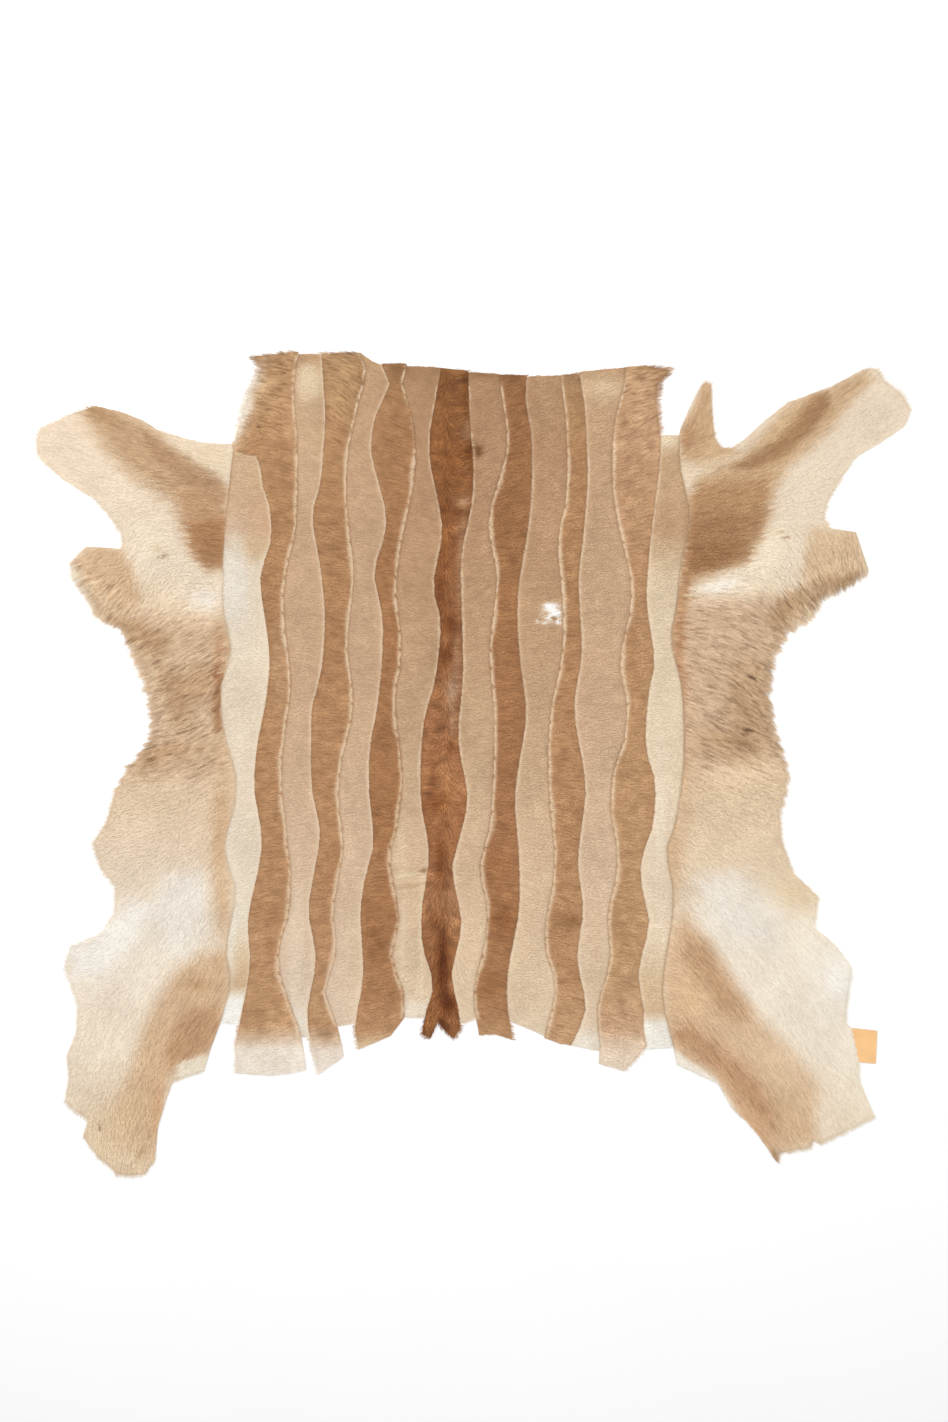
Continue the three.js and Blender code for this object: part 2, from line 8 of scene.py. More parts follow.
import bpy
import numpy as np
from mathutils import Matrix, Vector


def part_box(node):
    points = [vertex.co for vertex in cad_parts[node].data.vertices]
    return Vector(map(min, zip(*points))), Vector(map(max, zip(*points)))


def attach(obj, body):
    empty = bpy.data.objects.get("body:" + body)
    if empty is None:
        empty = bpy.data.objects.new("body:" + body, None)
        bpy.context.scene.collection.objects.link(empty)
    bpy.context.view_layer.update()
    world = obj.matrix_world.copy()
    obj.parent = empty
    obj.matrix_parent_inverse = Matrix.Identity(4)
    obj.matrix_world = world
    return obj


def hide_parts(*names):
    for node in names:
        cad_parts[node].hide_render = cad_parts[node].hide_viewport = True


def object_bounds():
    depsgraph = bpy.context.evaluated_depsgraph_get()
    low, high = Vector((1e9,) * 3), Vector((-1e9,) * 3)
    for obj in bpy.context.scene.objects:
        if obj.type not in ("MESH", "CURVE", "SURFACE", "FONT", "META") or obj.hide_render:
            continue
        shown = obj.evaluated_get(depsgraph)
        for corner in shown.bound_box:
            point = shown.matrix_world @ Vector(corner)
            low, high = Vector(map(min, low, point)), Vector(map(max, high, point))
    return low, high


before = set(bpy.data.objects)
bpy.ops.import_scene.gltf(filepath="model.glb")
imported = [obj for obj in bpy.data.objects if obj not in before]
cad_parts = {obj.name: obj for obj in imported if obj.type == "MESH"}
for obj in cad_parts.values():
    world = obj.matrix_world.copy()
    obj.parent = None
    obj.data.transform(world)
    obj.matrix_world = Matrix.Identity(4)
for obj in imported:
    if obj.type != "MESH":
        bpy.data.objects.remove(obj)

bl_info = {
    "name": "Hair-on cowhide rug",
    "version": (1, 0, 0),
    "blender": (4, 5, 0),
    "location": "3D View > Sidebar > Cowhide",
    "description": "Makes the hide, lying hair, stitching and tab of a pieced cowhide rug",
    "category": "Object",
}

CAD_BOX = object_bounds()
BODY = "root"

# The cutting grid
HIDE_WIDTH = 1.9  # metres from one foreleg's tip to the other's
GRID_WIDTH = 874.0  # the same in grid steps
STEP = HIDE_WIDTH / GRID_WIDTH
MIDDLE_ACROSS = 474.0
MIDDLE_DOWN = 763.5
PICTURE_HEIGHT = 1422  # grid steps that the camera sees, from the top of the grid
SPINE_ACROSS = 446.0
SPINE_HALF = 9
STRIPS_LEFT = (222, 238)  # where the left flank ends and the strips begin
STRIPS_RIGHT = (662, 680)

# The part map is finer than the grid, so that it can tell which panel a hair stands on
MAP_CELL = STEP / 2
MAP_MARGIN = 0.03
NOWHERE = -1
SEAM_REACH = 28  # cells along the hair within which a seam is looked for

# Lengths in metres
ON_FLOOR = 0.00001  # points lower than this are on the floor
BED_BASE = 0.0004  # least height of the hide under the hair
STRIP_HEIGHT = 0.006  # from the floor to the hair of a strip
SEAM_TAKE_UP = 0.00015  # the stitches pull each panel's edge out to the next one
SHORTEST_SEAM = 0.02
SEAM_END = 0.004  # the thread ends this far from the end of its seam
THREAD_ROOM = 0.0006  # the thread lies between the floor and the backs of the panels
THREAD_PLAY = (0.00002, 0.00003)  # left free under the thread and over it

THREAD_FLAT = 1.4  # pressed between panel and floor, the thread spreads to this times its thickness
ZIGZAG_REACH = 0.6  # how far a turn of the zigzag is from the seam, as a share of a stitch
MOST_TRIANGLES = 200_000  # in one piece

# Coats, as colours down the panel and then markings laid over them in turn. A blot is a list of corners on
# the cutting grid, how far its edge fades, colour and strength. A spot is its place, half width, half
# height, turn clockwise in degrees, crispness of its edge, colour and strength.
# The darker first stops of the strips' ramps, and the flat dark spots across the strips' tops above 382
# down,
# are painted shade where the neck end rolls under.
OUTER_LIGHT = [
    (350, "#b8946d"), (364, "#c09c79"), (420, "#c39f7c"), (560, "#c6a483"), (700, "#ccaa8a"),
    (860, "#d9bc9e"), (1000, "#e1cab0"), (1060, "#e6d2b8"),
]
INNER_LIGHT = [
    (364, "#a27b58"), (378, "#b08a66"), (450, "#b68f6c"), (600, "#bf9a76"), (760, "#caaa88"),
    (880, "#dbbf9f"), (1000, "#e1c9aa"), (1040, "#e8d5bb"),
]
OUTER_DARK = [
    (350, "#a17e5a"), (364, "#ad8660"), (440, "#b1865d"), (600, "#b0835a"), (860, "#b88b62"),
    (960, "#bd9169"), (1024, "#c49a71"), (1038, "#e0c6aa"), (1049, "#f3e8da"),
]
INNER_DARK = [
    (364, "#8d6340"), (388, "#9c6c45"), (560, "#a27249"), (800, "#a8764e"), (960, "#a87850"),
    (1010, "#b1825a"), (1045, "#c79e74"),
]
COATS = {
    "left_flank": ([
        (400, "#e6d2b9"), (570, "#e8d8c0"), (640, "#d9bc9a"), (780, "#dec5a6"), (860, "#e5d1b8"),
        (930, "#f0e4d2"), (1050, "#eee0cb"), (1180, "#e6d0b2"),
    ], [
        ([(80, 408), (97, 402), (125, 412), (150, 427), (168, 444), (196, 466), (224, 486), (224, 560),
          (206, 530), (186, 508), (160, 494), (132, 476), (104, 446)], 14, "#bc9873", 0.9),
        ([(142, 429), (158, 440), (190, 460), (223, 481), (223, 497), (205, 491), (180, 478), (154, 458)],
          7, "#a98360", 0.8),
        (98, 412, 20, 7, 22, 3, "#ab865f", 0.75), (212, 454, 17, 10, 10, 3, "#e5d1b2", 0.85),
        ([(174, 484), (198, 488), (228, 494), (228, 566), (208, 568), (195, 556), (186, 536), (177, 512)],
          13, "#bf9872", 0.95),
        ([(186, 524), (228, 518), (228, 566), (208, 569), (197, 559), (190, 543)], 7, "#a3754d", 0.8),
        ([(72, 562), (84, 549), (100, 544), (125, 552), (133, 570), (142, 598), (130, 612), (108, 600),
          (86, 582)], 8, "#cfad88", 0.9),
        (162, 557, 1.3, 3.2, 25, 6, "#927453", 0.7), (157, 549, 7, 2, 20, 4, "#d3ba96", 0.5),
        (206, 600, 14, 12, 0, 3, "#efe6d9", 0.85),
        ([(134, 614), (170, 616), (226, 626), (230, 640), (220, 670), (217, 720), (228, 772), (150, 778),
          (126, 762), (156, 720), (156, 690), (148, 655)], 14, "#c9ac8d", 1.0),
        ([(82, 584), (108, 604), (132, 618), (172, 640), (156, 662), (128, 642), (104, 618)], 9, "#ab835c",
          0.55),
        ([(158, 666), (182, 672), (220, 664), (223, 690), (194, 702), (187, 724), (171, 722), (163, 695)],
          12, "#b28a64", 0.55),
        (163, 752, 34, 8, -6, 3, "#b48c66", 0.55), (148, 765, 16, 5, -30, 3, "#b48c66", 0.5),
        # This thin blot and the next spot are painted shadow along the flank's edge by the first light strip
        ([(215, 666), (222, 662), (221, 732), (214, 730)], 3, "#9b6b45", 0.85),
        (220, 648, 5, 18, 0, 3, "#b5855e", 0.6), (221, 830, 8, 62, 2, 3, "#cfab84", 0.8),
        ([(165, 876), (203, 872), (209, 894), (203, 928), (184, 954), (166, 948), (152, 915)], 14,
          "#ebe4d9", 0.9),
        ([(64, 950), (100, 932), (130, 903), (154, 908), (132, 948), (105, 975), (75, 978)], 14, "#f4efe7",
          0.85),
        ([(184, 966), (206, 953), (230, 950), (234, 984), (231, 997), (220, 1022), (212, 1044), (203, 1054),
          (176, 1067), (167, 1082), (160, 1100), (158, 1131), (150, 1152), (124, 1152), (113, 1110),
          (124, 1088), (133, 1062), (143, 1028), (156, 1003), (174, 976)], 12, "#d3b18c", 0.92),
        ([(190, 1010), (216, 1006), (224, 1020), (213, 1046), (190, 1063), (171, 1069), (164, 1050),
          (175, 1028)], 9, "#bd936d", 0.85),
        (196, 985, 12, 6, 10, 3, "#b28a61", 0.55), (224, 905, 8, 44, -4, 3, "#d3b18a", 0.7),
        (157, 1110, 5, 27, 8, 3, "#cf9c70", 0.7), (126, 1134, 34, 36, 12, 3, "#dabc97", 0.75),
        (122, 1159, 17, 8, -8, 3, "#e9d4b4", 0.7), (140, 1153, 1.6, 9, 30, 4, "#b28e6a", 0.6),
        ([(177, 1064), (200, 1056), (207, 1061), (205, 1075), (178, 1078)], 3, "#efe3ce", 0.9),
        (100, 1127, 1.4, 2.6, 10, 6, "#937457", 0.85),
    ]),
    "right_flank": ([
        (365, "#e6d4bc"), (570, "#e9d9c1"), (640, "#d9bc9a"), (780, "#ddc3a3"), (860, "#e3cdb0"),
        (925, "#f1e6d4"), (1050, "#f0e4d1"), (1180, "#ecdabf"),
    ], [
        ([(697, 400), (703, 382), (713, 382), (713, 420), (718, 445), (740, 452), (700, 464), (682, 456),
          (679, 436)], 5, "#c9a57e", 0.95),
        (686, 440, 6, 12, 0, 3, "#b1865f", 0.7), (710, 462, 26, 9, 0, 3, "#dcc29d", 0.6),
        ([(786, 406), (808, 393), (828, 389), (842, 380), (868, 369), (873, 380), (853, 399), (840, 416),
          (828, 432), (806, 452), (788, 468), (774, 490), (768, 508), (762, 531), (753, 555), (738, 563),
          (709, 574), (686, 582), (687, 531), (688, 502), (700, 478), (724, 464), (741, 458), (762, 434),
          (777, 417)], 9, "#caa881", 0.92),
        ([(812, 397), (827, 392), (830, 408), (807, 436), (784, 457), (753, 471), (730, 468), (762, 450),
          (783, 433), (797, 417)], 6, "#a37b55", 0.85),
        ([(696, 486), (730, 480), (768, 478), (770, 512), (759, 541), (747, 559), (712, 572), (686, 577),
          (687, 543), (689, 510)], 12, "#b38961", 0.95),
        ([(688, 522), (730, 512), (764, 515), (757, 541), (746, 560), (712, 570), (688, 574)], 8, "#9f744e",
          0.75),
        ([(690, 545), (752, 538), (745, 559), (712, 568), (688, 572)], 6, "#93673f", 0.5),
        (768, 560, 15, 20, 20, 3, "#ecdcc1", 0.85), (720, 586, 18, 6, -12, 4, "#f1e8db", 0.9),
        # The first spot below is painted shadow along the flank's edge by the last light strip
        (683, 602, 6, 50, 5, 3, "#ad7e56", 0.85), (787, 538, 3.4, 1.6, -30, 5, "#b0906a", 0.7),
        (782, 532, 8, 1.2, -20, 4, "#cdb28b", 0.6),
        ([(812, 528), (858, 529), (868, 570), (850, 584), (820, 587), (800, 577)], 8, "#d2b38f", 0.85),
        ([(690, 604), (760, 600), (806, 596), (778, 635), (770, 650), (772, 700), (778, 754), (722, 766),
          (688, 772), (684, 720), (680, 660)], 14, "#c5a789", 1.0),
        ([(768, 618), (785, 594), (806, 582), (828, 576), (852, 572), (866, 576), (842, 594), (808, 608),
          (790, 624), (776, 634)], 7, "#a17c57", 0.6),
        ([(734, 664), (768, 658), (772, 756), (735, 760), (700, 750), (700, 734), (728, 728)], 16,
          "#b48f69", 0.5),
        (751, 677, 5, 2, 20, 5, "#6d5138", 0.8), (747, 731, 3.4, 3, 20, 5, "#5f442c", 0.85),
        (743, 743, 7, 3, 35, 3, "#7a5a3d", 0.45), (737, 702, 2, 7, -20, 3, "#8d6a47", 0.6),
        (745, 708, 2, 9, -25, 3, "#8d6a47", 0.5), (725, 740, 16, 3, 15, 3, "#93704c", 0.3),
        # The first spot below is painted shadow along the same edge
        (680, 690, 4, 66, -2, 3, "#ab7951", 0.85), (671, 850, 10, 70, 0, 3, "#cfab84", 0.75),
        ([(698, 878), (739, 872), (782, 912), (778, 948), (736, 943), (709, 922)], 14, "#eae2d6", 0.9),
        (797, 893, 24, 16, 25, 3, "#e0c8a4", 0.75), (838, 980, 15, 24, 0, 3, "#f3eee5", 0.8),
        ([(668, 930), (687, 916), (703, 936), (719, 963), (740, 996), (761, 1021), (788, 1048), (803, 1069),
          (820, 1090), (814, 1115), (817, 1142), (778, 1153), (773, 1160), (749, 1126), (731, 1104),
          (716, 1074), (676, 1056), (663, 1018), (660, 981), (664, 951)], 12, "#d7b591", 0.95),
        ([(686, 936), (708, 943), (728, 976), (750, 1012), (736, 1020), (715, 1008), (698, 981),
          (683, 960)], 13, "#bf9872", 0.85),
        (689, 998, 13, 20, -20, 3, "#dfbb91", 0.8), (686, 1036, 12, 10, 0, 3, "#b2845d", 0.75),
        (782, 1070, 32, 18, 48, 3, "#e4caa9", 0.75),
        ([(690, 1038), (712, 1041), (738, 1062), (760, 1084), (774, 1110), (776, 1130), (760, 1124),
          (735, 1094), (714, 1073), (698, 1058)], 12, "#bf936d", 0.85),
        (752, 1050, 44, 6, 40, 3, "#e0c39f", 0.6), (754, 1128, 27, 6, 55, 3, "#d09f74", 0.6),
        ([(674, 1048), (690, 1062), (715, 1078), (732, 1104), (739, 1118), (724, 1108), (704, 1088),
          (674, 1070)], 3.5, "#f3ebde", 0.9),
        (790, 1120, 10, 24, -25, 3, "#d9b88f", 0.5), (776, 1157, 4, 6, 0, 4, "#8a6a4a", 0.6),
    ]),
    "light_strip_1": ([
        (440, "#d2b290"), (470, "#cdad8a"), (530, "#cba684"), (546, "#d3b895"), (566, "#e6d6bf"),
        (800, "#e6d6bf"), (925, "#eaddc8"), (955, "#dfc6a3"), (985, "#d4b18a"), (994, "#e9dcc8"),
        (1000, "#f6f2ea"),
    ], [
        (234, 580, 16, 46, 0, 4, "#e6ded1", 0.85), (254, 548, 8, 12, 0, 3, "#d2b28c", 0.7),
        (230, 930, 6, 60, 0, 3, "#f2eadb", 0.7), (243, 440, 8, 6, 0, 3, "#e0cbab", 0.6),
    ]),
    "dark_strip_1": (OUTER_DARK, [
        (246, 404, 7, 44, 20, 4, "#f0e7d8", 0.95), (258, 356, 12, 3, 0, 3, "#9a744f", 0.8),
        (270, 366, 12, 8, 0, 3, "#a27c56", 0.7), (259, 392, 6, 10, 20, 3, "#cfae86", 0.6),
        (258, 427, 1.3, 1.3, 0, 6, "#4f3a27", 0.9), (256.5, 460, 1.3, 1.5, 0, 6, "#4f3a27", 0.9),
        (290, 420, 6, 60, 0, 3, "#bb916b", 0.5), (270, 450, 10, 30, 0, 3, "#b99067", 0.5),
        (281, 672, 10, 46, 0, 3, "#bf9873", 0.7), (268, 590, 8, 60, 0, 3, "#ab7f57", 0.5),
        (270, 915, 16, 12, 0, 3, "#a87b53", 0.6), (262, 935, 10, 10, 20, 3, "#c59a70", 0.6),
        (254, 950, 5, 14, 20, 3, "#c89d73", 0.5), (270, 945, 5, 12, -20, 3, "#aa7c55", 0.6),
        (255, 1015, 18, 20, 0, 3, "#b58a62", 0.6),
    ]),
    "light_strip_2": (OUTER_LIGHT, [
        (306, 460, 15, 60, 0, 3, "#d3b593", 0.6), (309, 382, 14, 19, 0, 4, "#e6d2b2", 0.9),
        (309, 358, 14, 5, 0, 3, "#b08c67", 0.7), (296, 960, 8, 60, 0, 3, "#e9d8bf", 0.6),
        (300, 1025, 16, 18, 0, 3, "#f0e7d8", 0.8),
    ]),
    "dark_strip_2": (OUTER_DARK, [
        (345, 358, 22, 5, 0, 3, "#ab8861", 0.7), (363, 380, 5, 16, 0, 3, "#855c39", 0.7),
        (340, 385, 20, 26, 0, 3, "#ae8a61", 0.6), (334, 440, 10, 30, 0, 3, "#b98d63", 0.5),
        (340, 870, 10, 26, 0, 3, "#a97a51", 0.6), (345, 640, 12, 36, 0, 3, "#a87c53", 0.5),
        (336, 945, 12, 26, 0, 3, "#b58760", 0.5), (326, 1030, 14, 16, 0, 3, "#b58b63", 0.5),
    ]),
    "light_strip_3": (OUTER_LIGHT, [
        (372, 362, 18, 7, 20, 3, "#bd9a74", 0.6), (362, 960, 12, 60, 0, 3, "#e1c9a8", 0.5),
    ]),
    "dark_strip_3": ([
        (360, "#9a7450"), (378, "#a47a53"), (440, "#aa7d54"), (600, "#a8784f"), (860, "#aa784d"),
        (1000, "#b1825a"), (1030, "#c0946b"), (1048, "#e0c6a3"),
    ], [
        (396, 366, 16, 6, 0, 3, "#926843", 0.7), (380, 440, 16, 40, 0, 3, "#ad815a", 0.5),
        (386, 560, 9, 30, 0, 3, "#a17149", 0.5), (388, 740, 12, 30, 8, 3, "#a0704a", 0.5),
        (374, 870, 8, 20, 0, 3, "#b38760", 0.5), (376, 935, 16, 26, 0, 3, "#9f6e45", 0.7),
    ]),
    "light_strip_4_neck": (INNER_LIGHT, [
        (410, 876, 12, 3.2, -8, 5, "#ecd8b7", 0.9), (424, 871, 4, 2.4, 0, 5, "#8f6b48", 0.7),
        (402, 850, 4, 30, 0, 3, "#e6d0b0", 0.5), (424, 372, 16, 8, 0, 3, "#a9835f", 0.6),
    ]),
    "light_strip_4_tail": (INNER_LIGHT, [
        (410, 886, 14, 2, -6, 5, "#c6a37c", 0.6), (422, 950, 2.5, 60, 0, 4, "#ecd9ba", 0.7),
        (403, 960, 3, 60, 0, 3, "#e8d4b6", 0.5), (413, 1010, 22, 9, 0, 4, "#efe3d0", 0.85),
    ]),
    "spine_strip": ([
        (366, "#8c5f3a"), (382, "#8f5c35"), (440, "#915c33"), (520, "#955f38"), (600, "#98633c"),
        (700, "#a57049"), (780, "#b17a50"), (850, "#aa7249"), (900, "#b6835b"), (950, "#ad764b"),
        (1000, "#a46b3d"), (1040, "#a06b41"),
    ], [
        (440, 410, 9, 34, 0, 3, "#a26e40", 0.6), (465, 396, 4, 26, 0, 3, "#7a4a22", 0.75),
        (457, 425, 3, 22, 12, 3, "#83512a", 0.6), (467, 432, 4, 9, 0, 3, "#bd9570", 0.75),
        (472, 452, 9, 9, 10, 3, "#68370f", 0.9), (452, 462, 8, 10, -20, 3, "#8a5327", 0.5),
        (442, 470, 5, 16, 0, 3, "#a66f3f", 0.6), (458, 486, 7, 8, 20, 3, "#845024", 0.6),
        (463, 502, 8, 4, -10, 3, "#cba37c", 0.85), (460, 513, 13, 5, 0, 3, "#74401b", 0.8),
        (447, 505, 7, 5, 0, 3, "#7f4a24", 0.6), (464, 575, 6, 56, 0, 4, "#bb9673", 0.8),
        (445, 545, 6, 22, 0, 3, "#9c6337", 0.6), (440, 592, 4, 22, 0, 3, "#7f4821", 0.6),
        (452, 625, 7, 10, 0, 3, "#733b16", 0.85), (447, 655, 7, 14, 0, 3, "#7c431d", 0.8),
        (444, 640, 5, 5, 0, 3, "#a9754b", 0.6), (457, 660, 3, 22, 0, 3, "#b89473", 0.5),
        (452, 690, 5, 12, 10, 3, "#bf9f82", 0.85), (438, 700, 8, 14, 0, 3, "#a56f45", 0.5),
        (453, 720, 2.5, 24, 0, 3, "#b89372", 0.6), (452, 748, 5, 8, 0, 3, "#834a22", 0.7),
        (447, 764, 8, 4, -20, 3, "#b98258", 0.6), (433, 770, 5, 24, 0, 3, "#905931", 0.4),
        (437, 803, 13, 9, 0, 3, "#824a20", 0.6), (452, 790, 4, 20, 0, 3, "#aa7547", 0.5),
        (441, 866, 5, 22, 0, 3, "#7b431c", 0.75), (452, 905, 5, 26, 0, 3, "#b68760", 0.6),
        (434, 922, 5, 12, 0, 3, "#85502b", 0.7), (443, 966, 6, 34, 0, 3, "#65300d", 0.95),
        (430, 965, 4, 24, 0, 3, "#96623c", 0.5), (452, 986, 3.5, 5, 0, 3, "#c28b60", 0.8),
        (449, 1004, 7, 8, 0, 3, "#662f0c", 0.9), (434, 1006, 3, 8, 0, 3, "#a5744b", 0.5),
        (424, 1026, 1.6, 12, 0, 4, "#6d3d1c", 0.7), (431, 1030, 2, 8, 0, 4, "#7c4a26", 0.7),
        (444, 1024, 3, 8, -35, 4, "#6d3b18", 0.8), (455, 1022, 4, 8, 0, 3, "#b27c50", 0.6),
    ]),
    "light_strip_5": (INNER_LIGHT, [
        (477, 451, 5, 6, 0, 4, "#6b4020", 0.9), (474, 470, 3, 30, 0, 3, "#9d7551", 0.5),
        (482, 374, 14, 5, 0, 3, "#8e6742", 0.6), (464, 700, 3, 50, 0, 3, "#ba9875", 0.4),
    ]),
    "dark_strip_4": (INNER_DARK, [
        (512, 372, 16, 9, 0, 3, "#865c38", 0.7), (518, 520, 12, 16, 0, 3, "#95653e", 0.5),
        (498, 868, 12, 16, 0, 3, "#a36e43", 0.6), (504, 920, 12, 16, 0, 3, "#945e36", 0.65),
        (490, 985, 13, 12, 0, 3, "#9c693f", 0.6),
    ]),
    "light_strip_6": (INNER_LIGHT, [
        (552, 613, 8.6, 8.6, 45, 7, "#fcfaf6", 1.0), (549, 606, 6, 3, 0, 6, "#fcfaf6", 1.0),
        (546, 614, 2.6, 2.6, 0, 5, "#c9a680", 0.9), (554, 618.5, 2.8, 2.4, 0, 7, "#b18f68", 1.0),
        (559, 622, 2.2, 2.2, 0, 5, "#fcfaf6", 1.0), (537, 621.5, 2.4, 1.8, 0, 5, "#ecdfcb", 0.9),
        (545, 623, 2.6, 1.4, 0, 5, "#f2ebdf", 0.9), (545, 400, 14, 30, 0, 3, "#bf9c76", 0.5),
    ]),
    "dark_strip_5": (OUTER_DARK[:6] + [(1036, "#c39a72"), (1075, "#cba57f")], [
        (569, 920, 11, 6, 10, 3, "#95663d", 0.7), (560, 935, 10, 20, 0, 3, "#b3855d", 0.5),
        (572, 377, 9, 7, 0, 3, "#947150", 0.7), (572, 975, 14, 14, 0, 3, "#b18259", 0.5),
    ]),
    "light_strip_7": (OUTER_LIGHT, [
        (604, 368, 22, 5, 0, 3, "#ae8762", 0.85), (604, 388, 19, 12, 0, 3, "#dfc5a1", 0.8),
        (588, 1046, 18, 15, 0, 4, "#f3ecdf", 0.9), (596, 950, 12, 70, 0, 3, "#d8bd9b", 0.6),
    ]),
    "dark_strip_6": ([
        (360, "#ab8660"), (376, "#bf9873"), (440, "#c39a75"), (560, "#bc916a"), (690, "#bb9067"),
        (850, "#bd936a"), (960, "#c2996f"), (1000, "#c49c75"), (1030, "#cca683"), (1044, "#e5ccb0"),
        (1075, "#eedfcc"),
    ], [
        (650, 366, 18, 6, 0, 3, "#a37c55", 0.7), (668, 380, 8, 8, 0, 3, "#94704d", 0.6),
        (632, 620, 8, 60, 0, 3, "#ab7f57", 0.4), (626, 925, 16, 22, 0, 3, "#b58a61", 0.5),
        (622, 985, 10, 10, 20, 3, "#c9a37b", 0.5),
    ]),
    "light_strip_8": ([
        (436, "#dcc7a8"), (450, "#c8a783"), (530, "#c29e7a"), (552, "#cfb291"), (580, "#dcc7a9"),
        (700, "#e2cfb3"), (940, "#e7d3b8"), (985, "#ddc29d"), (1012, "#dabc98"), (1024, "#f1eadd"),
        (1052, "#f6f2ea"),
    ], [
        (667, 442, 9, 6, 0, 3, "#e6d5b8", 0.7), (660, 820, 6, 60, 0, 3, "#eedfc8", 0.6),
    ]),
}

# Which way the hair lies, as (across, down, degrees anticlockwise from +X, reach in grid steps)
HAIR_LIE = [
    (60, 435, 165, 34), (120, 445, 163, 34), (185, 465, 170, 30), (200, 520, 180, 30), (150, 500, 188, 26),
    (215, 470, 172, 24), (205, 570, 182, 24), (130, 538, 225, 20), (160, 530, 172, 14), (150, 588, 238, 22),
    (90, 568, 212, 24), (112, 602, 226, 20), (140, 622, 216, 20), (196, 622, 205, 24), (190, 660, 212, 24),
    (168, 700, 204, 24), (216, 700, 222, 20), (160, 750, 197, 24), (210, 760, 207, 26), (150, 800, 196, 28),
    (200, 830, 217, 28), (110, 840, 190, 26), (190, 886, 236, 28), (125, 900, 215, 28), (82, 962, 192, 26),
    (150, 960, 238, 28), (208, 960, 247, 26), (190, 1030, 236, 26), (130, 1030, 248, 28),
    (84, 1080, 238, 26), (145, 1100, 250, 28), (112, 1150, 268, 28), (890, 400, 36, 34), (830, 425, 36, 34),
    (780, 460, 30, 30), (740, 500, 13, 30), (722, 550, 4, 28), (700, 470, 22, 22), (704, 408, 66, 18),
    (735, 470, 24, 20), (820, 500, 12, 22), (818, 545, -58, 20), (852, 556, -86, 22), (802, 582, -60, 20),
    (780, 604, -48, 20), (722, 600, -8, 22), (752, 640, -24, 22), (700, 680, -22, 24), (755, 690, -38, 22),
    (700, 740, -26, 24), (752, 742, -28, 22), (702, 800, -26, 28), (765, 800, -20, 28), (712, 862, -36, 28),
    (790, 880, -30, 28), (700, 930, -52, 28), (780, 950, -54, 28), (835, 960, -38, 26),
    (720, 1030, -54, 28), (800, 1040, -60, 28), (850, 1080, -48, 26), (762, 1110, -58, 28),
    (822, 1125, -62, 26), (246, 446, 236, 13), (238, 443, 236, 10), (254, 449, 236, 10),
    (436, 905, 258, 14), (447, 905, 282, 14), (437, 960, 262, 16), (446, 960, 278, 16),
    (442, 1015, 270, 16), (350, 372, 158, 12), (352, 392, 132, 14), (350, 415, 128, 14),
    (342, 440, 150, 16), (328, 380, 176, 12), (300, 395, 176, 16), (268, 372, 176, 16), (268, 430, 166, 22),
]
# How far the hair on the strips points towards the neck, as (down, degrees)
STRIP_RISE = [(350, 12), (420, 20), (520, 10), (640, 5), (760, 0), (900, -8), (1080, -16)]
# Where the hair is long and shaggy, as (across, down, half width, half height, turn clockwise)
SHAGGY = [
    (100, 592, 46, 15, 38), (180, 676, 58, 62, 0), (170, 745, 56, 30, 0), (840, 578, 34, 15, -12),
    (798, 602, 40, 18, -35), (735, 680, 66, 78, 0), (730, 745, 60, 26, 0),
]

# Length and width of a lock in metres, strength of the streaks and of the painted shade in the dark lines
# between locks, scatter in degrees, and strength of the cloudy mottling. Shaggy hair has the first four.
LENGTH, WIDTH, STREAKS_AND_GAP_SHADE, SCATTER, CLOUDS = range(5)
HAIR_KINDS = {
    "light_strip": (0.0085, 0.0016, 0.022, 6, 0.017),
    "dark_strip": (0.0095, 0.0016, 0.048, 8, 0.032),
    "spine_strip": (0.0100, 0.0016, 0.070, 20, 0.060),
    "left_flank": (0.0100, 0.0018, 0.048, 8, 0.012),
    "right_flank": (0.0100, 0.0018, 0.048, 8, 0.012),
}
SHAG = (0.020, 0.0015, 0.085, 9)
LENGTH_SPREAD = (0.7, 1.3)  # from the shortest lock to the longest, as shares of the length
WIDTH_SPREAD = (0.8, 1.2)
ROOT_JITTER = 0.6  # how far a root is from its place on the lattice, as a share of the spacing
WIDEST_AT = 0.42  # share of a lock's length from its root to its shoulders
ROOT_DEPTH = 0.0002  # metres from the hair bed down to the root of a lock
# The darker root is partly painted shade under the locks that lie over it
CORNER_TONES = (0.969, 0.9996, 0.9996, 1.0506)  # a lock is a little darker at its root than at its tip
RIM_WIDTH = 0.5  # share of its width that a lock has where it stands out of the rug's rim
# Strips whose hair is longer at the neck, by so many metres, between two places down the grid
LONG_NECKED = ("dark_strip_1", "dark_strip_2", "dark_strip_6")
NECK_LENGTH = 0.008
NECK_ENDS = (380, 460)
# How far past a seam a lock ends, in metres, and how much farther where it lies over the notch beside the
# first dark strip
PAST_SEAM = (0.0014, 0.0021)
PAST_NOTCH = 0.0065
NOTCH = (246, 449, 16, 8, 20)  # as in SHAGGY
# Pale roots laid bare along a cut edge: how wide the line is in metres, and how strong
ROOT_LINES = {
    "light_strip": (0.0038, 0.62),
    "dark_strip": (0.0068, 0.72),
    "spine_strip": (0.0024, 0.45),
    "left_flank": (0.0024, 0.4),
    "right_flank": (0.0024, 0.4),
}
ROOT_COLOUR = "#efdcc1"
# Shade in a seam: its strength, how far it reaches over the tips and over the roots in metres, and its
# share over the roots
SEAM_SHADE = 0.24
TIP_SHADE_WIDTH = 0.0030
ROOT_SHADE_WIDTH = 0.0014
ROOT_SHADE_SHARE = 0.7
# Powers that make a darker tone warmer, in red, green and blue
WARM_STROKES = (0.92, 1.12, 1.28)
WARM_SHADE = (0.75, 1.0, 1.25)

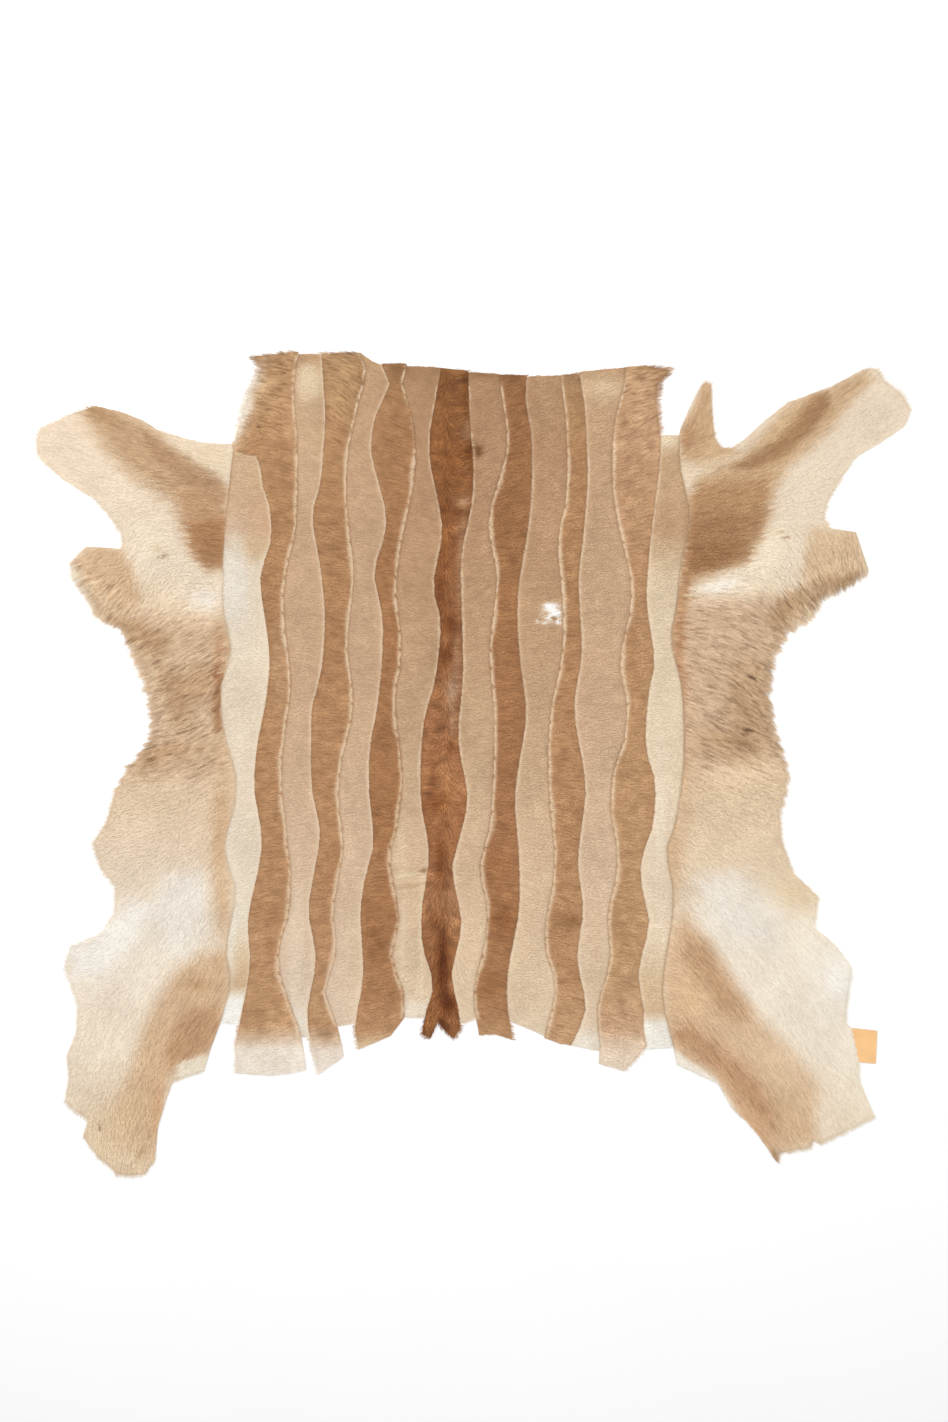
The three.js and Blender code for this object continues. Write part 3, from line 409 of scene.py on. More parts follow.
# Name, place, side in metres and watts of each soft light
SOFTBOXES = [
    ("softbox_left", (-2.6, 1.8, 3.2), 2.2, 102),
    ("softbox_right", (2.8, 0.8, 3.4), 2.4, 58),
    ("softbox_top", (0.0, -0.4, 5.0), 3.0, 80),
]
AIR_LIGHT = 0.34  # strength of the even light from all around
FLOOR_HALF = 7.0  # metres from the middle of the backdrop to its sides
FLOOR_TILES = 14  # along a side


def from_hex(code):
    """sRGB numbers of a hex colour."""
    return np.array([int(code[i:i + 2], 16) / 255 for i in (1, 3, 5)])


def to_linear(srgb):
    """Linear light of sRGB numbers: a straight start, then a power of 2.4."""
    srgb = np.clip(np.asarray(srgb, float), 0, 1)
    return np.where(srgb <= 0.04045, srgb / 12.92, ((srgb + 0.055) / 1.055) ** 2.4)


def linear_hex(code):
    """Linear colour of a hex code, with full opacity."""
    return (*to_linear(from_hex(code)), 1.0)


def smooth(x, low, high):
    """0 below low, 1 above high, and a smooth cubic between."""
    t = np.clip((x - low) / (high - low), 0, 1)
    return t * t * (3 - 2 * t)


def grid_of(x, y):
    """Across and down on the cutting grid of a place in metres."""
    return x / STEP + MIDDLE_ACROSS, MIDDLE_DOWN - y / STEP


def kind_of(panel):
    """The kind of hair that a panel has, by the start of its name."""
    return next(kind for kind in HAIR_KINDS if panel.startswith(kind))


def triangle_soup(obj):
    """Merged corners and triangles of a CAD node, whose mesh is loose triangles."""
    mesh = obj.data
    mesh.calc_loop_triangles()
    points = np.empty(len(mesh.vertices) * 3)
    mesh.vertices.foreach_get("co", points)
    triangles = np.empty(len(mesh.loop_triangles) * 3, np.int32)
    mesh.loop_triangles.foreach_get("vertices", triangles)
    unique, index = np.unique(np.round(points.reshape(-1, 3), 6), axis=0, return_inverse=True)
    triangles = index.ravel()[triangles].reshape(-1, 3)
    distinct = (triangles[:, 0] != triangles[:, 1]) & (triangles[:, 1] != triangles[:, 2])
    return unique, triangles[distinct & (triangles[:, 2] != triangles[:, 0])]


def split_long(points, triangles, upper_limit, under_limit):
    """Halves each edge over its limit, again and again, so that the surface stays closed.

    An edge on the floor has the under limit and any other edge the upper one. A triangle with one, two or
    three halved edges becomes two, three or four.
    """
    for _ in range(8):
        edges = np.sort(triangles[:, [0, 1, 1, 2, 2, 0]].reshape(-1, 2), axis=1)
        unique, index = np.unique(edges, axis=0, return_inverse=True)
        ends = points[unique]
        length = np.linalg.norm(ends[:, 0] - ends[:, 1], axis=1)
        on_floor = (ends[:, :, 2] < ON_FLOOR).all(1)
        halved = length > np.where(on_floor, under_limit, upper_limit)
        if not halved.any():
            break
        new = np.full(len(unique), -1)
        new[halved] = len(points) + np.arange(halved.sum())
        points = np.concatenate([points, ends[halved].mean(1)])
        middle = new[index.ravel()].reshape(-1, 3)
        count = (middle >= 0).sum(1)
        # Turned so that a lone halved edge, or the first of two, runs from corner 0 to corner 1
        first = np.where(count == 1, middle.argmax(1), (np.where(middle < 0, 1, 0).argmax(1) + 1) % 3)
        turn = (first[:, None] + np.arange(3)) % 3
        turn[(count == 0) | (count == 3)] = np.arange(3)
        a, b, c = np.take_along_axis(triangles, turn, 1).T
        ab, bc, ca = np.take_along_axis(middle, turn, 1).T
        none, one, two, three = (count == k for k in range(4))

        def rows(keep, *corners):
            return np.stack([corner[keep] for corner in corners], 1)

        triangles = np.concatenate([
            rows(none, a, b, c),
            rows(one, a, ab, c), rows(one, ab, b, c),
            rows(two, ab, b, bc), rows(two, a, ab, bc), rows(two, a, bc, c),
            rows(three, a, ab, ca), rows(three, ab, b, bc),
            rows(three, ca, bc, c), rows(three, ab, bc, ca),
        ])
    return points, triangles


def facing(points, triangles):
    """Unit normal of each triangle."""
    a, b, c = points[triangles].transpose(1, 0, 2)
    across = np.cross(b - a, c - a)
    return across / np.maximum(np.linalg.norm(across, axis=1), 1e-15)[:, None]


def outward(points, triangles):
    """Unit vectors along the floor and away from a solid, at the points of its walls, and 0 elsewhere."""
    normal = facing(points, triangles)
    wall = np.abs(normal[:, 2]) < 0.5
    total = np.zeros((len(points), 2))
    for corner in range(3):
        for axis in range(2):
            total[:, axis] += np.bincount(triangles[wall, corner], normal[wall, axis], len(points))
    return total / np.maximum(np.linalg.norm(total, axis=1), 1e-9)[:, None]


class PartMap:
    """Square cells over the rug that know their panel, the height of its hair and the way the hair lies.

    Each also knows how far it is, along the hair, from the seam at its roots' side and its tips' side.
    """

    def __init__(self, panels):
        self.low = np.array([CAD_BOX[0][0], CAD_BOX[0][1]]) - MAP_MARGIN
        size = np.array([CAD_BOX[1][0], CAD_BOX[1][1]]) + MAP_MARGIN - self.low
        self.shape = tuple(np.ceil(size / MAP_CELL).astype(int))
        self.panel = np.full(self.shape, NOWHERE, np.int16)
        self.top = np.zeros(self.shape)
        for number, name in enumerate(panels):
            points, triangles = triangle_soup(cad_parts[name])
            up = (facing(points, triangles)[:, 2] > 0.2) & (points[triangles][:, :, 2].min(1) > ON_FLOOR)
            self._stamp(points[triangles[up]], number)
        self.lie = self._lie()
        rng = np.random.default_rng(11)
        self.fine = self._streaks(rng, width=2, steps=9)
        self.broad = self._streaks(rng, width=4, steps=14)
        clouds = blurred(blurred(rng.standard_normal(self.shape).astype(np.float32), 11), 13)
        self.mottle = clouds / clouds.std()
        self.root_side = self._to_seam(-1)
        self.tip_side = self._to_seam(1)

    def _stamp(self, corners, number):
        """Marks the cells under each triangle, by points laid over it about two thirds of a cell apart."""
        side = np.linalg.norm(corners - np.roll(corners, 1, axis=1), axis=2).max(1)
        steps = np.ceil(side / (MAP_CELL * 0.66)).astype(int)
        for n in np.unique(steps):
            u, v = np.meshgrid(np.arange(n + 1) / n, np.arange(n + 1) / n)
            inside = u + v <= 1 + 1e-9
            shares = np.stack([1 - u[inside] - v[inside], u[inside], v[inside]], 1)
            places = np.einsum("sk,tkx->tsx", shares, corners[steps == n]).reshape(-1, 3)
            i, j = self.cell(places[:, 0], places[:, 1])
            self.panel[i, j] = number
            self.top[i, j] = places[:, 2]

    def cell(self, x, y):
        """Column and row of the cell that holds a place in metres."""
        i = ((x - self.low[0]) / MAP_CELL).astype(int)
        j = ((y - self.low[1]) / MAP_CELL).astype(int)
        return np.clip(i, 0, self.shape[0] - 1), np.clip(j, 0, self.shape[1] - 1)

    def _lie(self):
        """Unit vectors along the hair, each a mean of the table's directions, weighted by nearness.

        On the strips the hair also lies away from the spine, and on the spine towards the tail.
        """
        every = 8
        x = self.low[0] + (np.arange(0, self.shape[0], every) + every / 2) * MAP_CELL
        y = self.low[1] + (np.arange(0, self.shape[1], every) + every / 2) * MAP_CELL
        across, down = grid_of(*np.meshgrid(x, y, indexing="ij"))
        rise = np.radians(np.interp(down, *np.transpose(STRIP_RISE)))
        side = np.clip((across - SPINE_ACROSS) / SPINE_HALF, -1, 1)
        x = side * np.cos(rise)
        y = np.abs(side) * np.sin(rise) - 1.2 * (1 - np.abs(side))
        on_strips = smooth(across, *STRIPS_LEFT) * (1 - smooth(across, *STRIPS_RIGHT))
        weight = 0.02 + 0.25 * on_strips
        x, y = x * weight, y * weight
        for at, below, degrees, reach in HAIR_LIE:
            near = np.exp(-((across - at) ** 2 + (down - below) ** 2) / reach ** 2)
            x += near * math.cos(math.radians(degrees))
            y += near * math.sin(math.radians(degrees))
        coarse = np.stack([x, y]) / np.hypot(x, y)
        grown = np.repeat(np.repeat(coarse, every, axis=1), every, axis=2)
        grown = grown[:, :self.shape[0], :self.shape[1]]
        grown = np.stack([blurred(axis, every) for axis in grown])
        return (grown / np.linalg.norm(grown, axis=0)).astype(np.float32)

    def _walk(self, i, j, way):
        """The next place one cell along the hair, or back along it, and the cell that it is in."""
        column, row = self._inside(i, j)
        i = i + way * self.lie[0][column, row]
        j = j + way * self.lie[1][column, row]
        return i, j, *self._inside(i, j)

    def _inside(self, i, j):
        """The cell that a place in cells is in, or the nearest one of the map."""
        return tuple(np.clip(at, 0, n - 1).astype(np.int32) for at, n in zip((i, j), self.shape))

    def _streaks(self, rng, width, steps):
        """Blurred grains, each the mean of those along the hair's line through it. Their spread is 1."""
        grains = blurred(rng.standard_normal(self.shape).astype(np.float32), width)
        total = grains.copy()
        start = np.meshgrid(*(np.arange(n, dtype=np.float32) for n in self.shape), indexing="ij")
        for way in (1, -1):
            i, j = start
            for _ in range(steps):
                i, j, column, row = self._walk(i, j, way)
                total += grains[column, row]
        return total / total.std()

    def _to_seam(self, way):
        """Metres from each cell to the next panel along the hair's line, at most SEAM_REACH cells."""
        column, row = np.nonzero(self.panel != NOWHERE)
        own = self.panel[column, row]
        distance = np.full(len(column), SEAM_REACH, np.float32)
        i, j = column.astype(np.float32), row.astype(np.float32)
        for step in range(SEAM_REACH):
            i, j, to_column, to_row = self._walk(i, j, way)
            other = self.panel[to_column, to_row]
            distance[(other != own) & (other != NOWHERE) & (distance == SEAM_REACH)] = step
        cells = np.full(self.shape, SEAM_REACH * MAP_CELL, np.float32)
        cells[column, row] = distance * MAP_CELL
        return cells


def blurred(cells, width):
    """Mean over a square of about this many cells, by running sums along both ways."""
    half = width // 2
    for axis in (0, 1):
        count = cells.shape[axis]
        padded = np.concatenate([np.take(cells, [0] * (half + 1), axis), cells,
                                 np.take(cells, [-1] * half, axis)], axis)
        total = np.cumsum(padded, axis=axis, dtype=np.float64)
        high = np.take(total, np.arange(count) + 2 * half + 1, axis)
        low = np.take(total, np.arange(count), axis)
        cells = ((high - low) / (2 * half + 1)).astype(np.float32)
    return cells


def inside_blot(corners, fade, across, down):
    """1 inside a polygon, 0 outside and a smooth step between, by the distance to its nearest side."""
    distance = np.full(len(across), np.inf)
    within = np.zeros(len(across), bool)
    for (x0, y0), (x1, y1) in zip(corners, corners[1:] + corners[:1]):
        u, v = x1 - x0, y1 - y0
        share = np.clip(((across - x0) * u + (down - y0) * v) / (u * u + v * v), 0, 1)
        distance = np.minimum(distance, np.hypot(across - x0 - share * u, down - y0 - share * v))
        if v:
            crosses = ((down >= y0) != (down >= y1)) & (across < x0 + (down - y0) * u / v)
            within ^= crosses
    return smooth(np.where(within, distance, -distance), -fade, fade)


def inside_spot(spot, across, down):
    """Strength at the middle of an ellipse, falling off outside as 1 / (1 + distance to the crispness)."""
    at, below, half_width, half_height, turn, crispness = spot
    t = math.radians(turn)
    right, fall = across - at, down - below
    u = (right * math.cos(t) + fall * math.sin(t)) / half_width
    v = (fall * math.cos(t) - right * math.sin(t)) / half_height
    return 1 / (1 + np.hypot(u, v) ** crispness)


def coat_colour(panel, across, down):
    """sRGB colour of the hair: a ramp down the panel, then each blot and spot laid over it."""
    ramp, markings = COATS[panel]
    stops = np.array([stop for stop, _ in ramp], float)
    codes = np.array([from_hex(code) for _, code in ramp])
    colour = np.stack([np.interp(down, stops, codes[:, k]) for k in range(3)], 1)
    for *shape, code, strength in markings:
        if len(shape) == 2:
            share = inside_blot(*shape, across, down)
        else:
            share = inside_spot(shape, across, down)
        colour += (from_hex(code) - colour) * (strength * share)[:, None]
    return colour


def shagginess(panel, across, down):
    """1 where the hair is long and shaggy, 0 where it is short."""
    if not panel.endswith("flank"):
        return np.zeros(len(across))
    shag = [inside_spot((*area, 4), across, down) for area in SHAGGY]
    return smooth(np.max(shag, axis=0), 0.05, 0.6)


def drift(across, down):
    """Slow drift of the coat's tone over some centimetres, about -1 to 1, as a sum of slanting waves."""
    waves = [(0.061, 0.023, 0.3), (-0.037, 0.052, 1.7), (0.092, -0.041, 4.1), (0.019, 0.087, 2.2),
             (-0.11, -0.07, 5.0)]
    return sum(np.sin(a * across + b * down + c) for a, b, c in waves) / 3


def new_mesh_piece(name, points, triangles, slots, slot_of=None, colour=None):
    """A mesh object from arrays, with its materials and, where given, a colour at each point."""
    mesh = bpy.data.meshes.new(name)
    mesh.vertices.add(len(points))
    mesh.vertices.foreach_set("co", np.ascontiguousarray(points, np.float32).ravel())
    mesh.loops.add(triangles.size)
    mesh.loops.foreach_set("vertex_index", np.ascontiguousarray(triangles, np.int32).ravel())
    mesh.polygons.add(len(triangles))
    mesh.polygons.foreach_set("loop_start", np.arange(0, triangles.size, 3, dtype=np.int32))
    for slot in slots:
        mesh.materials.append(slot)
    if slot_of is not None:
        mesh.polygons.foreach_set("material_index", slot_of.astype(np.int32))
    if colour is not None:
        layer = mesh.color_attributes.new("coat", "FLOAT_COLOR", "POINT")
        opaque = np.column_stack([colour, np.ones(len(colour))])
        layer.data.foreach_set("color", opaque.astype(np.float32).ravel())
    mesh.update(calc_edges=True)
    mesh.validate()
    piece = bpy.data.objects.new(name, mesh)
    bpy.context.scene.collection.objects.link(piece)
    return piece


def node(tree, kind, links=None, **settings):
    """Adds a node with its settings and links. A setting that names an input is its value."""
    added = tree.nodes.new(kind)
    for key, value in settings.items():
        if hasattr(added, key):
            setattr(added, key, value)
        else:
            added.inputs[key.replace("_", " ")].default_value = value
    for socket, source in (links or {}).items():
        tree.links.new(source, added.inputs[socket])
    return added


def new_material(name, **shader):
    """An empty material and its shader, whose constant numbers are set on its own sockets."""
    material = bpy.data.materials.new(name)
    material.use_nodes = True
    tree = material.node_tree
    tree.nodes.clear()
    surface = tree.nodes.new("ShaderNodeBsdfPrincipled")
    for key, value in shader.items():
        surface.inputs[key.replace("_", " ")].default_value = value
    output = tree.nodes.new("ShaderNodeOutputMaterial")
    tree.links.new(surface.outputs[0], output.inputs[0])
    return material, tree, surface


MILLIMETRE = 1000.0  # divided by a size in millimetres, this is the scale of a pattern that size


def pattern(tree, kind, size, **settings):
    """A pattern in the object's own coordinates, with features of about this many millimetres."""
    place = node(tree, "ShaderNodeTexCoord")
    return node(tree, kind, {"Vector": place.outputs["Object"]}, Scale=MILLIMETRE / size, **settings)


def noise(tree, size, detail):
    """Soft grains or clouds of about this many millimetres."""
    return pattern(tree, "ShaderNodeTexNoise", size, Detail=detail)


def stretched(tree, value, low, high, **ends):
    """A pattern's value, drawn out so that low becomes 0 and high becomes 1, or the given ends."""
    return node(tree, "ShaderNodeMapRange", {"Value": value}, From_Min=low, From_Max=high, **ends)


def set_coat(tree, surface, grain, low, high):
    """Gives the surface the coat's colour, times a tone from low to high that goes with the grain."""
    coat = node(tree, "ShaderNodeAttribute", attribute_name="coat")
    tone = stretched(tree, grain.outputs["Fac"], 0.3, 0.7, To_Min=low, To_Max=high)
    tinted = node(tree, "ShaderNodeVectorMath", {0: coat.outputs["Color"], 1: tone.outputs["Result"]},
                  operation="MULTIPLY")
    tree.links.new(tinted.outputs[0], surface.inputs["Base Color"])


def set_two_tones(tree, surface, factor, code, dark, light):
    """Gives the surface one colour, times dark where the factor is 0 and times light where it is 1."""
    colour = node(tree, "ShaderNodeMix", {"Factor": factor}, data_type="RGBA")
    colour.inputs["A"].default_value = (*np.multiply(code, dark), 1.0)
    colour.inputs["B"].default_value = (*np.multiply(code, light).clip(0, 1), 1.0)
    tree.links.new(colour.outputs["Result"], surface.inputs["Base Color"])


def set_bump(tree, surface, height, strength, distance):
    """Gives the surface a relief of this depth in metres."""
    bump = node(tree, "ShaderNodeBump", {"Height": height}, Strength=strength, Distance=distance)
    tree.links.new(bump.outputs[0], surface.inputs["Normal"])


def lying_hair():
    """Cattle hair, brushed flat: each lock has its own tone, and a faint gloss runs along it."""
    material, tree, surface = new_material("cattle_hair_lying", Roughness=0.6, IOR=1.55,
                                           Specular_IOR_Level=0.18)
    # Single hairs are about 0.06 mm. They are drawn 2 mm wide, or they would be finer than a pixel.
    set_coat(tree, surface, noise(tree, 2.0, 3.0), 0.97, 1.03)
    return material


def hair_bed():
    """Hide between the roots of the hair: under-hair and skin, matt, and a little darker than the coat as
    painted shade.
    """
    material, tree, surface = new_material("hair_bed_of_hide", Roughness=0.85, IOR=1.5,
                                           Specular_IOR_Level=0.2)
    # Locks of under-hair are about 1.5 mm apart. They are drawn 3 mm wide, so that they show.
    grain = noise(tree, 3.0, 4.0)
    set_coat(tree, surface, grain, 0.89, 1.09)
    set_bump(tree, surface, grain.outputs["Fac"], 0.5, 0.0006)
    return material


def split_suede(code):
    """Flesh side of chrome-tanned hide, buffed to suede: pale, matt, with a short uneven nap."""
    material, tree, surface = new_material("buffed_suede_back", Roughness=0.95, IOR=1.5,
                                           Specular_IOR_Level=0.15, Sheen_Weight=0.25, Sheen_Roughness=0.6)
    cloud = noise(tree, 60.0, 5.0)
    # The nap is about 0.4 mm. It is drawn 1.2 mm wide, so that it shows.
    nap = noise(tree, 1.2, 3.0)
    both = node(tree, "ShaderNodeMath", {0: cloud.outputs["Fac"], 1: nap.outputs["Fac"]}, operation="ADD")
    tone = stretched(tree, both.outputs[0], 0.7, 1.3)
    set_two_tones(tree, surface, tone.outputs["Result"], code, 0.84, 1.05)
    set_bump(tree, surface, nap.outputs["Fac"], 0.35, 0.0003)
    return material


def tanned_tab(code):
    """Vegetable-tanned cowhide, smooth side out: warm, with fine pores and a soft waxed gloss."""
    material, tree, surface = new_material("vegetable_tanned_leather", Roughness=0.48, IOR=1.5,
                                           Specular_IOR_Level=0.4)
    # Pores are about 0.3 mm apart. They are drawn 1.4 mm apart, so that they show.
    pores = pattern(tree, "ShaderNodeTexVoronoi", 1.4)
    cloud = noise(tree, 30.0, 3.0)
    tone = stretched(tree, cloud.outputs["Fac"], 0.3, 0.7)
    set_two_tones(tree, surface, tone.outputs["Result"], code, 0.94, 1.04)
    set_bump(tree, surface, pores.outputs["Distance"], 0.2, 0.0002)
    return material


def edge_dye_and_shadow(code):
    """Cut edge of the same leather, dyed and rubbed, with a painted shadow: darker, with fibres and a smooth
    low gloss.
    """
    material, tree, surface = new_material("leather_edge_dye_and_shadow", Roughness=0.4, IOR=1.5)
    # Fibres are about 0.1 mm thick. They are drawn 0.8 mm thick, so that they show.
    fibres = noise(tree, 0.8, 2.0)
    set_two_tones(tree, surface, fibres.outputs["Fac"], code, 0.8, 1.1)
    return material


def waxed_thread(code):
    """Bonded polyester thread, twisted and waxed: nearly white with an even low gloss."""
    material, tree, surface = new_material("bonded_sewing_thread", Roughness=0.6, IOR=1.5)
    # A wave repeats after pi / 10 of its size, so this twist is 1.9 mm long, about as on the real thread
    ply = pattern(tree, "ShaderNodeTexWave", 6.0)
    # Its darker bands are painted shade in the grooves between the plies
    set_two_tones(tree, surface, ply.outputs["Fac"], code, 0.8, 1.0)
    return material


def studio_paper():
    """Matt white backdrop paper, rolled out on the floor."""
    material, tree, surface = new_material("matt_backdrop_paper", Roughness=0.9)
    # A sheet this large has swells about a third of a metre wide, which take the light a little unevenly
    cloud = noise(tree, 1000 / 3, 2.0)
    tone = stretched(tree, cloud.outputs["Fac"], 0.0, 1.0, To_Min=0.97, To_Max=0.99)
    tree.links.new(tone.outputs["Result"], surface.inputs["Base Color"])
    return material


PANELS = [name for name in sorted(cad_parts) if name != "leather_tab"]
made = {}


class HideSizes(bpy.types.PropertyGroup):
    """Sizes of the hair, the panels' meshes and the stitches"""
    pile_share: bpy.props.FloatProperty(
        name="Pile", description="Share of a panel's height that is lying hair above the hide",
        default=0.5, min=0.2, max=0.8, subtype="FACTOR")
    lock_spacing: bpy.props.FloatProperty(
        name="Lock spacing", description="Distance between the roots of two locks of hair",
        default=0.0024, min=0.001, max=0.01, unit="LENGTH")
    flank_spacing: bpy.props.FloatProperty(
        name="Flank lock spacing", description="Distance between the roots of two locks on the flanks",
        default=0.0026, min=0.001, max=0.01, unit="LENGTH")
    shag_spacing: bpy.props.FloatProperty(
        name="Shag spacing", description="Distance between the roots of two of the added shaggy locks",
        default=0.0025, min=0.001, max=0.01, unit="LENGTH")
    panel_edge: bpy.props.FloatProperty(
        name="Panel edge", description="Longest edge in the mesh of a panel's upper side",
        default=0.018, min=0.005, max=0.05, unit="LENGTH")
    stitch: bpy.props.FloatProperty(
        name="Stitch", description="Length along the seam of one leg of the zigzag",
        default=0.005, min=0.002, max=0.02, unit="LENGTH")
    thread: bpy.props.FloatProperty(
        name="Thread", description="Thickness of the sewing thread",
        default=0.0007, min=0.0003, max=0.002, unit="LENGTH")


class HideColours(bpy.types.PropertyGroup):
    """Colours of what is not hair"""
    suede: bpy.props.FloatVectorProperty(
        name="Suede", description="Colour of the hide's back", subtype="COLOR",
        default=linear_hex("#d8c9b4")[:3], min=0, max=1)
    tab: bpy.props.FloatVectorProperty(
        name="Tab", description="Colour of the leather tab", subtype="COLOR",
        default=linear_hex("#f1bf83")[:3], min=0, max=1)
    # The tab's edge colour also paints the thin shadow along the tab's edge
    edge: bpy.props.FloatVectorProperty(
        name="Tab edge", description="Colour of the tab's burnished edge", subtype="COLOR",
        default=linear_hex("#9a7044")[:3], min=0, max=1)
    thread: bpy.props.FloatVectorProperty(
        name="Thread", description="Colour of the sewing thread", subtype="COLOR",
        default=linear_hex("#e9dfcc")[:3], min=0, max=1)


def part_map():
    """The part map, made once."""
    if "map" not in made:
        made["map"] = PartMap(PANELS)
    return made["map"]


def bed_height(top):
    """Height of the hide under the hair: the share of the panel's height that is not hair, and the base."""
    return BED_BASE + top * (1 - bpy.context.scene.cowhide_sizes.pile_share)


class COWHIDE_OT_panels(bpy.types.Operator):
    """Makes each hide panel from its solid, with the upper side lowered to the roots of the hair"""
    bl_idname = "cowhide.panels"
    bl_label = "Hide panels"

    def execute(self, context):
        sizes, colours = context.scene.cowhide_sizes, context.scene.cowhide_colours
        bed, suede = hair_bed(), split_suede(colours.suede)
        cells = part_map()
        for panel in PANELS:
            points, triangles = triangle_soup(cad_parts[panel])
            floor = points[:, 2] < ON_FLOOR
            a, b, c = points[triangles[floor[triangles].all(1)]].transpose(1, 0, 2)
            area = np.abs(np.cross((b - a)[:, :2], (c - a)[:, :2])).sum() / 2
            points, triangles = split_long(points, triangles, sizes.panel_edge, sizes.panel_edge * 4)
            across, down = grid_of(points[:, 0], points[:, 1])
            # Painted shade under the locks: the hide is a little darker than the coat, with a slow drift of
            # tone
            coat = coat_colour(panel, across, down) * (0.95 + 0.02 * drift(across, down))[:, None]
            i, j = cells.cell(points[:, 0], points[:, 1])
            # Under the hair there are pale roots, and no shade from the tips ahead
            no_tips = np.ones(len(points))
            coat = edged(panel, coat, cells.root_side[i, j], no_tips)
            raised = points[:, 2] > ON_FLOOR
            points[raised, 2] = bed_height(points[raised, 2])
            points[~raised, 2] = THREAD_ROOM
            points[:, :2] += SEAM_TAKE_UP * outward(points, triangles)
            under = facing(points, triangles)[:, 2] < -0.5
            piece = new_mesh_piece(f"hide_{panel}", points, triangles, [bed, suede], under,
                                   to_linear(coat))
            piece.data.set_sharp_from_angle(angle=math.radians(50))
            width, length = np.ptp(points[:, 0]), np.ptp(points[:, 1])
            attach(piece, BODY)
            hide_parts(panel)
            made[panel] = {"piece": piece, "flat": (float(width), float(length)), "area": float(area)}
        return {"FINISHED"}


def edged(panel, colour, root_side, tip_side):
    """Pale roots along the seam that the hair comes from, and shade there and where the hair ends.

    The pale line is full to about half its width, and gone at about one and a half times its width.
    """
    width, strength = ROOT_LINES[kind_of(panel)]
    pale = (strength * (1 - smooth(root_side, 0.45 * width, 1.6 * width)))[:, None]
    roots = 1 - ROOT_SHADE_SHARE * (1 - smooth(root_side, 0.0, ROOT_SHADE_WIDTH))
    lit = np.minimum(smooth(tip_side, 0.0, TIP_SHADE_WIDTH), roots)
    shade = (1 - SEAM_SHADE * (1 - lit))[:, None] ** np.array(WARM_SHADE)
    return (colour + (from_hex(ROOT_COLOUR) - colour) * pale) * shade


def of_hair(panel, which, shag):
    """One measure of the hair: its kind's where it is short, SHAG's where it is shaggy, or one between."""
    short = HAIR_KINDS[kind_of(panel)][which]
    return short + (SHAG[which] - short) * shag


def at_neck(panel, down):
    """1 at the neck end of a panel whose hair is longer there, and 0 elsewhere."""
    if panel not in LONG_NECKED:
        return np.zeros(len(down))
    return 1 - smooth(down, *NECK_ENDS)


def lock_roots(panel, number, cells, spacing, rng, only_shaggy):
    """Places of the roots on a jittered lattice over the panel, and how shaggy the hair is at each."""
    low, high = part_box(panel)
    x, y = np.meshgrid(np.arange(low[0], high[0], spacing), np.arange(low[1], high[1], spacing))
    x = x.ravel() + rng.uniform(-ROOT_JITTER, ROOT_JITTER, x.size) * spacing
    y = y.ravel() + rng.uniform(-ROOT_JITTER, ROOT_JITTER, y.size) * spacing
    own = cells.panel[cells.cell(x, y)] == number
    x, y = x[own], y[own]
    shag = shagginess(panel, *grid_of(x, y))
    if only_shaggy:
        kept = shag > rng.uniform(0, 1, len(x))
        x, y, shag = x[kept], y[kept], shag[kept]
    return x, y, shag


def lock_sizes(panel, number, cells, x, y, shag, rng):
    """Way, length and width of each lock. It ends where it would cross into the next panel."""
    cell = cells.cell(x, y)
    across, down = grid_of(x, y)
    length = of_hair(panel, LENGTH, shag) + NECK_LENGTH * at_neck(panel, down)
    length = length * rng.uniform(*LENGTH_SPREAD, len(x))
    width = of_hair(panel, WIDTH, shag) * rng.uniform(*WIDTH_SPREAD, len(x))
    # A lock leans by chance, and partly the same way as its neighbours
    lean = np.radians(of_hair(panel, SCATTER, shag))
    lean = lean * (0.7 * rng.standard_normal(len(x)) + 0.5 * cells.broad[cell])
    lie_x, lie_y = cells.lie[0][cell], cells.lie[1][cell]
    u = lie_x * np.cos(lean) - lie_y * np.sin(lean)
    v = lie_y * np.cos(lean) + lie_x * np.sin(lean)
    past = rng.uniform(*PAST_SEAM, len(x))
    if panel == "dark_strip_1":
        past = past + PAST_NOTCH * inside_spot((*NOTCH, 6), across, down)
    length = np.minimum(np.maximum(length, 4 * past), cells.tip_side[cell] + past)
    # Looked at by tenths from its tip to its root, a lock is cut off a tenth before it enters another panel
    share = np.ones(len(x))
    for step in np.arange(10, 1, -1) / 10:
        reach = length * step - past
        other = cells.panel[cells.cell(x + u * reach, y + v * reach)]
        share = np.where((other != number) & (other != NOWHERE), step - 0.1, share)
    return (u, v), length * share, width


